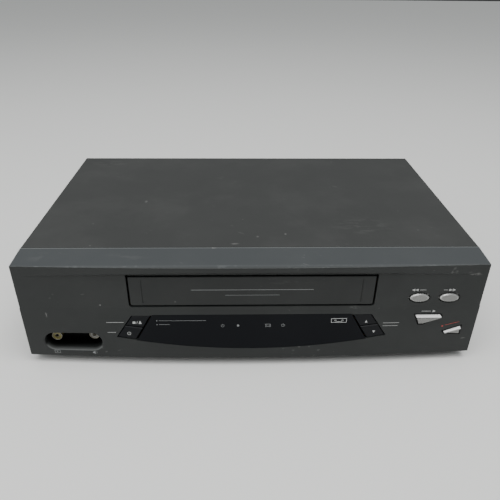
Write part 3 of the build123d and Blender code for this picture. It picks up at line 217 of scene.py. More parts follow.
def newGroup(name, inputs, outputs):
    tree = bpy.data.node_groups.new(name, "ShaderNodeTree")
    for label, kind, value in inputs:
        socket = tree.interface.new_socket(name=label, in_out="INPUT", socket_type="NodeSocket" + kind)
        if value is not None:
            socket.default_value = value
    for label in outputs:
        tree.interface.new_socket(name=label, in_out="OUTPUT", socket_type="NodeSocketFloat")
    build = Builder(tree)
    return tree, build, build.add("NodeGroupInput").outputs, build.add("NodeGroupOutput").inputs


# surface effects that several materials share are node groups
def makeGrainGroup():
    # moulded or painted grain: a height for bump, and a gentle patchiness
    inputs = [("Vector", "Vector", None), ("Grain", "Float", 4000.0), ("Patches", "Float", 25.0)]
    tree, build, given, out = newGroup("surfaceGrain", inputs, ["Height", "Patch"])
    build.put(build.noise(given["Vector"], given["Grain"], detail=2.0, rough=0.6), out["Height"])
    build.put(build.noise(given["Vector"], given["Patches"], detail=4.0, rough=0.6), out["Patch"])
    return tree


dustForm = {
    "cells": 150.0,           # cells in a metre, each with one place for a speck
    "speck": (0.03, 0.12),    # a speck fades between these distances, in cells, from its middle
    "share": (0.955, 0.96),   # a cell whose random value is above this has a speck
    "strength": (0.3, 1.0),
    "filmScale": 12.0,
    "film": (0.48, 0.78),
}


def makeDustGroup():
    # settled dust: sparse round specks, and a faint film in patches
    inputs = [("Vector", "Vector", None), ("Specks", "Float", 0.5), ("Film", "Float", 0.5)]
    tree, build, given, out = newGroup("settledDust", inputs, ["Mask"])
    cellInputs = {"Vector": given["Vector"], "Scale": dustForm["cells"], "Randomness": 1.0}
    cells = build.add("ShaderNodeTexVoronoi", cellInputs).outputs
    near = build.below(cells["Distance"], dustForm["speck"])
    pick = build.add("ShaderNodeSeparateColor", {"Color": cells["Color"]}).outputs
    chosen = build.above(pick[0], dustForm["share"])
    strength = build.spread(pick[1], 0.0, 1.0, *dustForm["strength"])
    speck = build.times(near, chosen, strength, given["Specks"])
    cloud = build.noise(given["Vector"], dustForm["filmScale"], detail=6.0, rough=0.65)
    film = build.above(cloud, dustForm["film"])
    build.put(build.total(speck, build.times(film, given["Film"])), out["Mask"])
    return tree


scratchForm = {
    "stretch": (9.0, 420.0, 420.0),   # noise cells in a metre, few of them along a scratch
    "lines": (0.70, 0.74),
    "placeScale": 22.0,
    "places": (0.56, 0.66),
}


def makeScratchGroup():
    # thin pale scratches in one direction, only here and there
    inputs = [("Vector", "Vector", None), ("Amount", "Float", 0.5), ("Turn", "Vector", (0, 0, 0.5))]
    tree, build, given, out = newGroup("fineScratches", inputs, ["Mask"])
    turned = build.add("ShaderNodeVectorRotate", {"Vector": given["Vector"], "Rotation": given["Turn"]},
                       rotation_type="EULER_XYZ").outputs[0]
    stretched = build.vector("MULTIPLY", turned, scratchForm["stretch"])
    lines = build.above(build.noise(stretched, 1.0, detail=1.0, rough=0.4), scratchForm["lines"])
    places = build.noise(given["Vector"], scratchForm["placeScale"], detail=2.0, rough=0.5)
    build.put(build.times(lines, build.above(places, scratchForm["places"]), given["Amount"]), out["Mask"])
    return tree


scuffForm = {"fade": (0.15, 1.0), "strokes": (0.50, 0.60)}


def makeScuffGroup():
    # one rubbed place: short strokes that fade out from its middle
    inputs = [("Vector", "Vector", None), ("Place", "Vector", (0, 0, 0)),
              ("Reach", "Vector", (100, 100, 100)), ("Stroke", "Vector", (300, 300, 300)),
              ("Strength", "Float", 1.0)]
    tree, build, given, out = newGroup("scuff", inputs, ["Mask"])
    away = build.vector("MULTIPLY", build.vector("SUBTRACT", given["Vector"], given["Place"]), given["Reach"])
    far = build.add("ShaderNodeVectorMath", {0: away}, operation="LENGTH").outputs["Value"]
    stretched = build.vector("MULTIPLY", given["Vector"], given["Stroke"])
    strokes = build.noise(stretched, 1.0, detail=3.0, rough=0.6)
    mask = build.times(build.below(far, scuffForm["fade"]), build.above(strokes, scuffForm["strokes"]))
    build.put(build.times(mask, given["Strength"]), out["Mask"])
    return tree


groups = {"grain": makeGrainGroup(), "dust": makeDustGroup(), "scratches": makeScratchGroup(),
          "scuff": makeScuffGroup()}


def newMaterial(name):
    look = bpy.data.materials.new(name)
    look.use_nodes = True
    build = Builder(look.node_tree)
    where = build.add("ShaderNodeTexCoord").outputs["Object"]
    return look, build, look.node_tree.nodes["Principled BSDF"].inputs, where


def shade(color, factor):
    return (color[0] * factor, color[1] * factor, color[2] * factor, 1)


plainFinishes = {
    # shine is the specular level, grain and bump its scale and height, film and specks the two kinds of dust
    "coverPaint": dict(color=(0.038, 0.0395, 0.038), rough=0.42, shine=0.42, grain=2600, bump=0.16,
                       film=0.05, specks=0.45, scratch=0.10),
    "bezelMoulding": dict(color=(0.0205, 0.0225, 0.022), rough=0.42, shine=0.27, grain=3800, bump=0.12,
                          film=0.03, specks=0.25, scratch=0.16),
    "doorMoulding": dict(color=(0.0175, 0.0192, 0.0188), rough=0.42, shine=0.27, grain=3800, bump=0.12,
                         film=0.03, specks=0.35, scratch=0.05),
    "darkButton": dict(color=(0.0030, 0.0036, 0.0052), rough=0.30, shine=0.16, grain=3800, bump=0.06,
                       film=0.02, specks=0.2, scratch=0.1),
    "silverButton": dict(color=(0.235, 0.235, 0.23), rough=0.26, metallic=0.75, shine=0.5, grain=5200,
                         bump=0.10, film=0.03, specks=0.0, scratch=0.15),
    # the yellow and white jack colours are darkened as painted shade, for the front jacks' place in the
    # shadowed slot
    "yellowMoulding": dict(color=(0.19, 0.165, 0.035), rough=0.30, shine=0.4, grain=3000, bump=0.04,
                           film=0.1, specks=0.1, scratch=0.05),
    "whiteMoulding": dict(color=(0.26, 0.255, 0.235), rough=0.34, shine=0.4, grain=3000, bump=0.04,
                          film=0.1, specks=0.1, scratch=0.05),
    "blackMoulding": dict(color=(0.010, 0.010, 0.011), rough=0.42, shine=0.45, grain=3000, bump=0.10,
                          film=0.05, specks=0.2, scratch=0.1),
    "ivoryMoulding": dict(color=(0.60, 0.56, 0.44), rough=0.42, shine=0.45, grain=3000, bump=0.06,
                          film=0.05, specks=0.0, scratch=0.1),
    "rearPaint": dict(color=(0.020, 0.021, 0.022), rough=0.45, shine=0.45, grain=2600, bump=0.18, film=0.10,
                      specks=0.4, scratch=0.2),
    "blackScrew": dict(color=(0.030, 0.030, 0.031), rough=0.30, metallic=0.8, shine=0.5, grain=2000,
                       bump=0.05, film=0.08, specks=0.0, scratch=0.4),
    "rubber": dict(color=(0.011, 0.011, 0.011), rough=0.75, shine=0.3, grain=2200, bump=0.22, film=0.16,
                   specks=0.3, scratch=0.0),
    "lampMoulding": dict(color=(0.30, 0.015, 0.012), rough=0.18, shine=0.5, grain=3000, bump=0.03,
                         film=0.05, specks=0.0, scratch=0.0),
    "transformerSteel": dict(color=(0.06, 0.05, 0.042), rough=0.5, metallic=0.4, shine=0.5, grain=1500,
                             bump=0.3, film=0.2, specks=0.2, scratch=0.1),
    "capacitorSleeve": dict(color=(0.012, 0.02, 0.07), rough=0.3, shine=0.5, grain=2500, bump=0.04,
                            film=0.12, specks=0.2, scratch=0.0),
    "circuitBoard": dict(color=(0.20, 0.11, 0.045), rough=0.42, shine=0.45, grain=1600, bump=0.12,
                         film=0.15, specks=0.2, scratch=0.1),
}

plainForm = {
    "patches": 26.0,
    "patchLimits": (0.3, 0.7),
    "tints": (0.94, 1.06),
    "roughShift": (-0.03, 0.04),
    "scratchTurn": (0.2, 0.1, 0.6),
    "wornColor": (0.30, 0.30, 0.29, 1),
    "wornRough": 0.25,
    "bumpDepth": 0.0001,
}

frontY = frontForm["y"]
scuffs = {
    # places and reaches in mm: x, y behind the face and height. A stroke is finest where its number is high
    "bezelMoulding": [
        dict(place=(52, 0.3, 91.6), reach=(9, 3, 0.7), stroke=(160, 500, 900), strength=0.4),
        dict(place=(-95, 0.3, 91.7), reach=(4, 3, 0.6), stroke=(200, 500, 900), strength=0.7),
        dict(place=(-70, 0.3, 91.7), reach=(20, 3, 0.5), stroke=(160, 500, 900), strength=0.15),
        dict(place=(150, 0.3, 91.7), reach=(24, 3, 0.5), stroke=(90, 500, 900), strength=0.3),
        dict(place=(153, 0, 87.3), reach=(3, 4, 4), stroke=(500, 500, 300), strength=0.3),
        dict(place=(168, 0, 83.8), reach=(8, 4, 2.5), stroke=(150, 500, 700), strength=0.45),
        dict(place=(175, 0, 21.9), reach=(5, 5, 1.1), stroke=(150, 500, 900), strength=0.8),
        dict(place=(-160.5, 0, 47.7), reach=(1.2, 5, 3.0), stroke=(900, 500, 150), strength=0.6),
        dict(place=(80.7, 0, 53.2), reach=(5, 5, 1.5), stroke=(200, 500, 600), strength=0.3),
        dict(place=(-117.7, 0, 56.8), reach=(0.8, 3, 0.8), stroke=(40, 40, 40), strength=0.9),
        dict(place=(-155.4, 0, 68.3), reach=(0.7, 3, 1.5), stroke=(60, 40, 40), strength=0.6),
        dict(place=(101, 5.0, 92.3), reach=(2.2, 2.8, 2), stroke=(300, 300, 900), strength=0.8),
        dict(place=(-30, 23.5, 93.8), reach=(3.5, 1.0, 1), stroke=(500, 500, 500), strength=1.0),
        dict(place=(-160, 12, 93), reach=(14, 8, 4), stroke=(70, 120, 300), strength=0.06),
        dict(place=(-95, 12, 93), reach=(22, 7, 4), stroke=(60, 150, 300), strength=0.05),
    ],
    "coverPaint": [
        dict(place=(-96, 110, 94), reach=(2.2, 3.5, 2), stroke=(100, 60, 60), strength=0.35),
        dict(place=(5, 42, 94), reach=(1.5, 2.0, 2), stroke=(60, 60, 60), strength=0.45),
        dict(place=(28, 46, 94), reach=(1.2, 1.6, 2), stroke=(60, 60, 60), strength=0.4),
        dict(place=(120, 205, 94), reach=(1.2, 1.8, 2), stroke=(60, 60, 60), strength=1.0),
        dict(place=(-150, 210, 94), reach=(22, 12, 3), stroke=(80, 200, 200), strength=0.10),
        dict(place=(-14, 30, 94), reach=(5, 1.8, 2), stroke=(120, 500, 200), strength=0.3),
        dict(place=(95, 60, 94), reach=(30, 22, 3), stroke=(70, 200, 200), strength=0.07),
    ],
    "doorMoulding": [
        dict(place=(-59.8, 0.4, 59.2), reach=(0.8, 3, 0.8), stroke=(40, 40, 40), strength=0.9),
        dict(place=(30, 0.4, 76), reach=(18, 3, 3), stroke=(60, 300, 500), strength=0.07),
    ],
}


def makeScuffs(build, where, facts):
    masks = []
    for scuff in facts:
        x, deep, z = scuff["place"]
        reach = [1 / (size * mm) for size in scuff["reach"]]
        masks.append(build.group("scuff", {
            "Vector": where,
            "Place": (x * mm, frontY + deep * mm, z * mm),
            "Reach": reach,
            "Stroke": scuff["stroke"],
            "Strength": scuff["strength"],
        })["Mask"])
    return masks


def makePlainFinish(name, facts):
    look, build, shader, where = newMaterial(name)
    form = plainForm
    grain = build.group("grain", {"Vector": where, "Grain": facts["grain"], "Patches": form["patches"]})
    dust = build.group("dust", {"Vector": where, "Specks": facts["specks"], "Film": facts["film"]})
    scratchInputs = {"Vector": where, "Amount": facts["scratch"], "Turn": form["scratchTurn"]}
    scratch = build.group("scratches", scratchInputs)
    tints = [shade(facts["color"], tint) for tint in form["tints"]]
    base = build.mix(build.above(grain["Patch"], form["patchLimits"]), *tints)
    if name in edgeLooks:
        base = edgeLooks[name](build, where, base)
    worn = build.total(dust["Mask"], scratch["Mask"], *makeScuffs(build, where, scuffs.get(name, [])))
    build.put(build.mix(worn, base, form["wornColor"]), shader["Base Color"])
    roughRange = [facts["rough"] + shift for shift in form["roughShift"]]
    rough = build.spread(grain["Patch"], *form["patchLimits"], *roughRange)
    build.put(build.total(rough, build.times(worn, form["wornRough"])), shader["Roughness"])
    # the play and record ledges aren't metallic
    if name == "silverButton":
        build.put(build.spread(ledgeMask(build, where), 0.0, 1.0, facts["metallic"], 0.0), shader["Metallic"])
    else:
        shader["Metallic"].default_value = facts.get("metallic", 0.0)
    shader["Specular IOR Level"].default_value = facts["shine"]
    bumpInputs = {"Height": grain["Height"], "Strength": facts["bump"], "Distance": form["bumpDepth"]}
    build.put(build.add("ShaderNodeBump", bumpInputs).outputs["Normal"], shader["Normal"])
    return look


bezelWear = {
    "stripLow": (91.9 * mm, 92.2 * mm),       # the top strip's lighter colour, painted light from above on the same moulding, starts between these heights
    "stripLitColor": (0.057, 0.0625, 0.065, 1),
    "browLow": (91.6 * mm, 91.8 * mm),        # the front edge of the strip: rubbed wear and a painted highlight
    "browBack": (frontY + 0.3 * mm, frontY + 0.7 * mm),
    "nickScale": 220.0,
    "nicks": (0.54, 0.68, 0.16, 0.38),        # two limits of the noise, and the wear at each
    "lineFront": (frontY + 23.0 * mm, frontY + 23.3 * mm),   # a painted highlight along the strip's back edge, where it stands proud of the cover
    "lineLow": (93.0 * mm, 93.3 * mm),
    "lineShare": 0.8,
    # pale colour of the rubbed wear and of the painted highlights on the strip's edges
    "wornAndLitColor": (0.16, 0.17, 0.17, 1),
    "bulge": (-166 * mm, -120 * mm, 0.83 * mm, 3.07 * mm),   # of the face at the two ends of the jack slot
    "slotLeft": (-168 * mm, -167 * mm),
    "slotRight": (-120.2 * mm, -119.8 * mm),
    "slotHigh": (17 * mm, 19 * mm),
    "lipFront": (0.1 * mm, 0.5 * mm),         # the painted band of light on the slot's lower lip
    "lipBack": (1.0 * mm, 5.0 * mm),
    "lipLitColor": (0.105, 0.110, 0.108, 1),
    "darkFront": (-119 * mm, -117 * mm, 3.2 * mm, 1.2 * mm),   # the painted shade starts deeper in the jack slot
    "darkDepth": (0.0, 4.0 * mm),
    "darkHigh": (86 * mm, 88 * mm),
    "darkSide": (177.2 * mm, 177.6 * mm),
    "insideShadeColor": (0.0015, 0.0015, 0.0015, 1),
}


def bezelEdges(build, where, base):
    # a top strip made lighter as painted light, its front edge rubbed and with a painted highlight, a painted
    # highlight along its back edge, a painted band of light on the jack slot's lower lip, and painted shade
    # on the walls inside
    wear = bezelWear
    x, y, z = axes(build, where)
    strip = build.mix(build.above(z, wear["stripLow"]), base, wear["stripLitColor"])
    brow = build.times(build.above(z, wear["browLow"]), build.below(y, wear["browBack"]))
    nicks = build.spread(build.noise(where, wear["nickScale"], detail=3.0, rough=0.6), *wear["nicks"])
    line = build.times(build.above(y, wear["lineFront"]), build.above(z, wear["lineLow"]), wear["lineShare"])
    wornAndLit = build.mix(build.total(build.times(brow, nicks), line), strip, wear["wornAndLitColor"])
    # the lower lip of the jack slot gets a pale band of painted light, and the painted shade starts only
    # further in
    inward = build.math("ADD", build.math("SUBTRACT", y, frontY), build.spread(x, *wear["bulge"]))
    atSlot = build.times(build.below(x, wear["slotRight"]), build.above(x, wear["slotLeft"]),
                         build.below(z, wear["slotHigh"]))
    lip = build.times(build.above(inward, wear["lipFront"]), build.below(inward, wear["lipBack"]))
    wornAndLit = build.mix(build.times(lip, atSlot), wornAndLit, wear["lipLitColor"])
    # painted shade on every inner surface that lies further back than the face
    darkFront = build.math("ADD", build.spread(x, *wear["darkFront"]), frontY)
    deep = build.above(build.math("SUBTRACT", y, darkFront), wear["darkDepth"])
    inside = build.times(deep, build.below(z, wear["darkHigh"]),
                         build.below(build.math("ABSOLUTE", x), wear["darkSide"]))
    return build.mix(inside, wornAndLit, wear["insideShadeColor"])


coverWear = {
    "foldSide": (179.0 * mm, 179.5 * mm),
    "foldLow": (92.8 * mm, 93.4 * mm),
    "nickScale": 130.0,
    "nicks": (0.55, 0.66, 0.0, 0.5),          # two limits of the noise, and the wear at each
    "color": (0.20, 0.20, 0.19, 1),
}


def coverEdges(build, where, base):
    # paint rubbed thin along the folds at the sides
    wear = coverWear
    x, _, z = axes(build, where)
    side = build.math("ABSOLUTE", x)
    fold = build.times(build.above(side, wear["foldSide"]), build.above(z, wear["foldLow"]))
    nicks = build.spread(build.noise(where, wear["nickScale"], detail=4.0, rough=0.65), *wear["nicks"])
    return build.mix(build.times(fold, nicks), base, wear["color"])


ledges = {
    "front": (152 * mm, 153 * mm, -2.8 * mm, -2.0 * mm),   # the front edge of play's ledge, then of record's
    "inward": (0.0, 0.1 * mm),
    "upward": (0.76, 0.84),
    "high": (50 * mm, 51 * mm),
    # the near-white painted highlight on the ledges
    "color": (0.94, 0.94, 0.93, 1),
}


def ledgeMask(build, where):
    # the ledges of the play and record buttons: their faces that look upwards, without the front edge
    x, y, z = axes(build, where)
    upward = axes(build, build.add("ShaderNodeNewGeometry").outputs["Normal"])[2]
    front = build.math("ADD", build.spread(x, *ledges["front"]), frontY)
    inward = build.above(build.math("SUBTRACT", y, front), ledges["inward"])
    return build.times(build.above(upward, ledges["upward"]), inward, build.below(z, ledges["high"]))


ovals = {
    "x": (130.3 * mm, 153.7 * mm),
    "z": 62.1 * mm,
    "half": (7.1 * mm, 3.4 * mm),
    "rimStart": (0.72, 0.86),     # squared distances from the middle, with the edge of the flat near 1
    "rimEnd": (1.3, 1.6),
    "bright": 1.9,
}


def silverEdges(build, where, base):
    # a painted highlight on the bevel round each oval, brighter than its flat middle, and a near-white
    # painted highlight on the play and record ledges
    x, _, z = axes(build, where)
    wide, high = ovals["half"]
    bright = shade(plainFinishes["silverButton"]["color"], ovals["bright"])
    up = build.math("DIVIDE", build.math("SUBTRACT", z, ovals["z"]), high)
    for middle in ovals["x"]:
        across = build.math("DIVIDE", build.math("SUBTRACT", x, middle), wide)
        far = build.math("ADD", build.times(across, across), build.times(up, up))
        bevel = build.times(build.above(far, ovals["rimStart"]), build.below(far, ovals["rimEnd"]))
        base = build.mix(bevel, base, bright)
    # the play and record ledges get a near-white painted highlight
    return build.mix(ledgeMask(build, where), base, ledges["color"])


screwRecessShade = {
    "half": (0.30 * mm, 0.40 * mm),
    "reach": (1.9 * mm, 2.0 * mm),
    "color": (0.002, 0.002, 0.002, 1),
}


def screwEdges(build, where, base):
    # painted shade in the shape of a cross recess in the head of each case screw
    _, y, z = axes(build, where)
    low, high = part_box("case_screws")
    up = build.math("ABSOLUTE", build.math("SUBTRACT", z, (low.z + high.z) / 2))
    head = (high.z - low.z) / 2
    for middle in (low.y + head, high.y - head):
        along = build.math("ABSOLUTE", build.math("SUBTRACT", y, middle))
        thin = build.below(build.math("MINIMUM", along, up), screwRecessShade["half"])
        short = build.below(build.math("MAXIMUM", along, up), screwRecessShade["reach"])
        base = build.mix(build.times(thin, short), base, screwRecessShade["color"])
    return base


edgeLooks = {"bezelMoulding": bezelEdges, "coverPaint": coverEdges, "silverButton": silverEdges,
             "blackScrew": screwEdges}

metalFinishes = {
    # the drawn lines run along the axis whose number is lowest, and bump is their height
    "platedSteel": dict(color=(0.42, 0.42, 0.39), rough=0.36, lines=(30, 900, 900), bump=0.10),
    "nickel": dict(color=(0.62, 0.60, 0.54), rough=0.22, lines=(700, 60, 700), bump=0.05),
    "dullNickel": dict(color=(0.25, 0.235, 0.19), rough=0.34, lines=(700, 60, 700), bump=0.05),
    "polishedSteel": dict(color=(0.62, 0.62, 0.61), rough=0.16, lines=(500, 500, 60), bump=0.03),
    "screwSteel": dict(color=(0.60, 0.54, 0.36), rough=0.30, lines=(500, 500, 100), bump=0.05),
    "springSteel": dict(color=(0.40, 0.40, 0.40), rough=0.30, lines=(300, 300, 300), bump=0.05),
    "tinnedSteel": dict(color=(0.58, 0.58, 0.56), rough=0.28, lines=(60, 700, 700), bump=0.06),
    "drumAluminium": dict(color=(0.68, 0.68, 0.68), rough=0.20, lines=(60, 60, 2500), bump=0.08),
    "aluminium": dict(color=(0.64, 0.64, 0.64), rough=0.38, lines=(900, 900, 40), bump=0.10),
    "motorSteel": dict(color=(0.48, 0.48, 0.46), rough=0.30, lines=(300, 300, 60), bump=0.06),
}

metalForm = {
    "specks": 0.1,
    "film": 0.12,
    "dustColor": (0.22, 0.21, 0.19, 1),
    "tintLimits": (0.3, 0.7),
    "tints": (0.84, 1.06),
    "roughShift": (-0.08, 0.1),
    "bumpDepth": 0.0002,
}


def makeMetalFinish(name, facts):
    look, build, shader, where = newMaterial(name)
    form = metalForm
    lines = build.noise(build.vector("MULTIPLY", where, facts["lines"]), 1.0, detail=3.0, rough=0.6)
    dust = build.group("dust", {"Vector": where, "Specks": form["specks"], "Film": form["film"]})
    tints = [shade(facts["color"], tint) for tint in form["tints"]]
    base = build.mix(build.above(lines, form["tintLimits"]), *tints)
    build.put(build.mix(dust["Mask"], base, form["dustColor"]), shader["Base Color"])
    shader["Metallic"].default_value = 1.0
    roughRange = [facts["rough"] + shift for shift in form["roughShift"]]
    build.put(build.spread(lines, 0.0, 1.0, *roughRange), shader["Roughness"])
    bumpInputs = {"Height": lines, "Strength": facts["bump"], "Distance": form["bumpDepth"]}
    build.put(build.add("ShaderNodeBump", bumpInputs).outputs["Normal"], shader["Normal"])
    return look


acrylic = {
    "color": (0.0010, 0.0016, 0.0034, 1),
    "dustColor": (0.20, 0.21, 0.22, 1),
    "specks": 0.35,
    "film": 0.006,
    "smears": (0.35, 0.75, 0.14, 0.24),       # two limits of the noise, and the roughness at each
    "smearScale": 60.0,
    "shine": 0.13,
}


def makeWindowAcrylic():
    # smoked acrylic: nearly black, glossy, with a faint blue and a few wiped smears
    look, build, shader, where = newMaterial("windowAcrylic")
    dust = build.group("dust", {"Vector": where, "Specks": acrylic["specks"], "Film": acrylic["film"]})
    build.put(build.mix(dust["Mask"], acrylic["color"], acrylic["dustColor"]), shader["Base Color"])
    smear = build.noise(where, acrylic["smearScale"], detail=4.0, rough=0.6)
    build.put(build.spread(smear, *acrylic["smears"]), shader["Roughness"])
    shader["Specular IOR Level"].default_value = acrylic["shine"]
    return look


inkForm = {"thinScale": 900.0, "thin": (0.35, 0.7), "thinTint": 0.8, "rough": 0.45}


def makePrintInk(name, color, shine=0.5):
    # screen-printed ink, slightly thin in places
    look, build, shader, where = newMaterial(name)
    thin = build.above(build.noise(where, inkForm["thinScale"], detail=3.0, rough=0.6), inkForm["thin"])
    build.put(build.mix(thin, shade(color, inkForm["thinTint"]), shade(color, 1.0)), shader["Base Color"])
    shader["Roughness"].default_value = inkForm["rough"]
    shader["Specular IOR Level"].default_value = shine
    return look


looks = {name: makePlainFinish(name, facts) for name, facts in plainFinishes.items()}
looks.update({name: makeMetalFinish(name, facts) for name, facts in metalFinishes.items()})
looks["windowAcrylic"] = makeWindowAcrylic()
looks["whiteInk"] = makePrintInk("whiteInk", (0.50, 0.51, 0.50))
looks["greyInk"] = makePrintInk("greyInk", (0.24, 0.25, 0.25))
looks["redInk"] = makePrintInk("redInk", (0.42, 0.045, 0.035))
# near black, used only for the painted shadow in the gaps round the play and record buttons
looks["blackInk"] = makePrintInk("blackInk", (0.0015, 0.0015, 0.0015), 0.05)

nodeLooks = {
    "coverPaint": ["top_cover"],
    "bezelMoulding": ["front_bezel"],
    "doorMoulding": ["cassette_door"],
    "windowAcrylic": ["display_window"],
    "darkButton": ["stop_eject_button", "power_button", "channel_up_button", "channel_down_button"],
    "silverButton": ["rewind_button", "fast_forward_button", "play_button", "record_button"],
    "yellowMoulding": ["front_video_jack", "video_jack_rings"],
    "whiteMoulding": ["front_audio_jack", "audio_jack_rings"],
    "nickel": ["rear_jack_barrels", "aerial_connectors"],
    "rearPaint": ["rear_panel"],
    "rubber": ["rubber_feet", "drive_belt", "pinch_roller"],
    "blackScrew": ["case_screws"],
    "screwSteel": ["deck_screws"],
    "blackMoulding": ["channel_switch_knob", "cord_gland", "tact_switches", "clutch_pulley", "supply_reel",
                      "takeup_reel", "idler_wheel"],
    "springSteel": ["door_spring"],
    "circuitBoard": ["front_board", "main_board"],
    "lampMoulding": ["indicator_lamps"],
    "tinnedSteel": ["tuner_can", "head_amplifier_shield"],
    "transformerSteel": ["power_transformer"],
    "capacitorSleeve": ["capacitors"],
    "aluminium": ["heatsink"],
    "drumAluminium": ["lower_drum", "upper_drum"],
    "platedSteel": ["bottom_chassis", "deck_plate", "drum_motor_disc", "capstan_motor", "idler_arm",
                    "pinch_arm", "tension_arm", "cassette_basket", "basket_carriage", "loader_brackets"],
    "polishedSteel": ["capstan_flywheel", "supply_guide", "takeup_guide", "erase_head",
                      "audio_control_head"],
    "motorSteel": ["loading_motor"],
    "ivoryMoulding": ["loading_pinion", "cam_gear"],
}
for lookName, members in nodeLooks.items():
    for node in members:
        mesh = nodes[node].data
        mesh.materials.clear()
        mesh.materials.append(looks[lookName])
print("materials are on", sum(len(members) for members in nodeLooks.values()), "nodes")


# printed marks are thin slabs that follow the surface they're on, drawn in mm across and up
def bar(left, right, low, high, lean=0.0):
    return [(left, low), (right, low), (right + lean, high), (left + lean, high)]


pointTurns = {"right": 0, "up": 90, "left": 180, "down": 270}


def pointer(x, z, half, way):
    # a triangle that points one way
    angle = math.radians(pointTurns[way])
    corners = [(-half * 1.1, -half), (half * 1.1, 0), (-half * 1.1, half)]
    side, rise = math.cos(angle), math.sin(angle)
    return [(x + along * side - up * rise, z + along * rise + up * side) for along, up in corners]


def spot(x, z, radius, sides=16):
    return [(x + radius * math.cos(step * math.tau / sides), z + radius * math.sin(step * math.tau / sides))
            for step in range(sides)]


def hoop(x, z, radius, line, start=0, end=360, steps=16):
    # a ring, or a part of one between two angles
    pieces = []
    for step in range(steps):
        angles = [math.radians(start + (end - start) * part / steps) for part in (step, step + 1)]
        hole = radius - line
        near = [(x + hole * math.cos(angle), z + hole * math.sin(angle)) for angle in angles]
        far = [(x + radius * math.cos(angle), z + radius * math.sin(angle)) for angle in reversed(angles)]
        pieces.append(near + far)
    return pieces


def edging(left, right, low, high, line):
    # a hollow rectangle
    return [bar(left, right, low, low + line), bar(left, right, high - line, high),
            bar(left, left + line, low + line, high - line),
            bar(right - line, right, low + line, high - line)]


def powerSign(x, z, radius, line):
    # a ring open at the top, with a bar through the opening
    stroke = bar(x - line / 2, x + line / 2, z, z + radius * 1.15)
    return hoop(x, z, radius, line, start=125, end=415) + [stroke]


def cassetteSign(x, z, wide, high, line):
    # a rectangle with two reels
    sign = edging(x - wide / 2, x + wide / 2, z - high / 2, z + high / 2, line)
    reelAway, reelUp, reelRadius = wide * 0.22, high * 0.04, high * 0.2
    for side in (-1, 1):
        sign += hoop(x + side * reelAway, z + reelUp, reelRadius, line * 0.8)
    return sign


def clockSign(x, z, radius, line):
    # a dial with two hands
    longHand = bar(x - line / 2, x + line / 2, z, z + radius * 0.7)
    shortHand = bar(x, x + radius * 0.55, z - line / 2, z + line / 2)
    return hoop(x, z, radius, line) + [longHand, shortHand]


def speakerSign(x, z, half, line):
    # a small box, a horn and one sound wave
    boxLeft, boxRight, boxHalf = x - half * 0.8, x - half * 0.2, half * 0.4
    mouth = x + half * 0.5
    horn = [(boxRight, z - boxHalf), (mouth, z - half), (mouth, z + half), (boxRight, z + boxHalf)]
    box = bar(boxLeft, boxRight, z - boxHalf, z + boxHalf)
    return [horn, box] + hoop(x + half * 0.45, z, half * 0.95, line, start=-40, end=40, steps=6)


def rim(points, wide):
    # a band round an outline whose corners run clockwise
    far = []
    for before, here, after in zip(points[-1:] + points[:-1], points, points[1:] + points[:1]):
        ways = [Vector((start[1] - end[1], end[0] - start[0])).normalized()
                for start, end in ((before, here), (here, after))]
        corner = (ways[0] + ways[1]).normalized()
        far.append(Vector(here) + corner * wide / corner.dot(ways[0]))
    following = [*range(1, len(points)), 0]
    return [[tuple(far[one]), tuple(far[two]), points[two], points[one]] for one, two in enumerate(following)]


def makePrint(name, shapes, surface, ink, body, proud=0.04):
    # surface gives y for x and z in metres, and proud is in mm towards the front
    mesh = bpy.data.meshes.new(name)
    shape = bmesh.new()
    for outline in shapes:
        # the front stands proud, and the back lies half as far inside
        rings = []
        for lift in (proud * mm, -proud * mm / 2):
            places = [(x * mm, z * mm) for x, z in outline]
            rings.append([shape.verts.new((x, surface(x, z) - lift, z)) for x, z in places])
        front, back = rings
        shape.faces.new(front)
        shape.faces.new(list(reversed(back)))
        for first, second in zip(range(len(front)), [*range(1, len(front)), 0]):
            shape.faces.new((front[second], front[first], back[first], back[second]))
    bmesh.ops.recalc_face_normals(shape, faces=shape.faces)
    shape.to_mesh(mesh)
    shape.free()
    mesh.materials.append(looks[ink])
    thing = bpy.data.objects.new(name, mesh)
    bpy.context.scene.collection.objects.link(thing)
    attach(thing, body)


def behind(distance):
    return lambda x, z: faceY(x, z) + distance


arrowHalf = 1.15
smallArrowHalf = 1.1
bezelSigns = [
    # rewind, with a line for its word
    pointer(124.4, 69.3, arrowHalf, "left"), pointer(127.1, 69.3, arrowHalf, "left"),
    bar(129.6, 134.4, 69.1, 69.5, 0.1),
    # fast forward
    bar(148.0, 151.2, 69.0, 69.4, 0.1),
    pointer(153.6, 69.2, arrowHalf, "right"), pointer(156.3, 69.2, arrowHalf, "right"),
    # play
    pointer(144.2, 49.2, smallArrowHalf, "right"), bar(134.0, 141.4, 49.0, 49.4, 0.1),
    # lines for the words by the channel buttons, stop/eject and power
    bar(104.4, 117.4, 38.5, 38.8, 0.3), bar(104.4, 116.4, 35.8, 36.1, 0.3),
    bar(-114.8, -101.0, 40.65, 40.95), bar(-114.8, -108.2, 31.35, 31.65),
]
# under the front jacks: a screen for video and a speaker for audio
jackSigns = edging(-159.9, -155.3, 10.4, 13.4, 0.3) + [pointer(-157.6, 11.9, 0.6, "right")]
jackSigns += speakerSign(-127.6, 11.8, 1.6, 0.3)
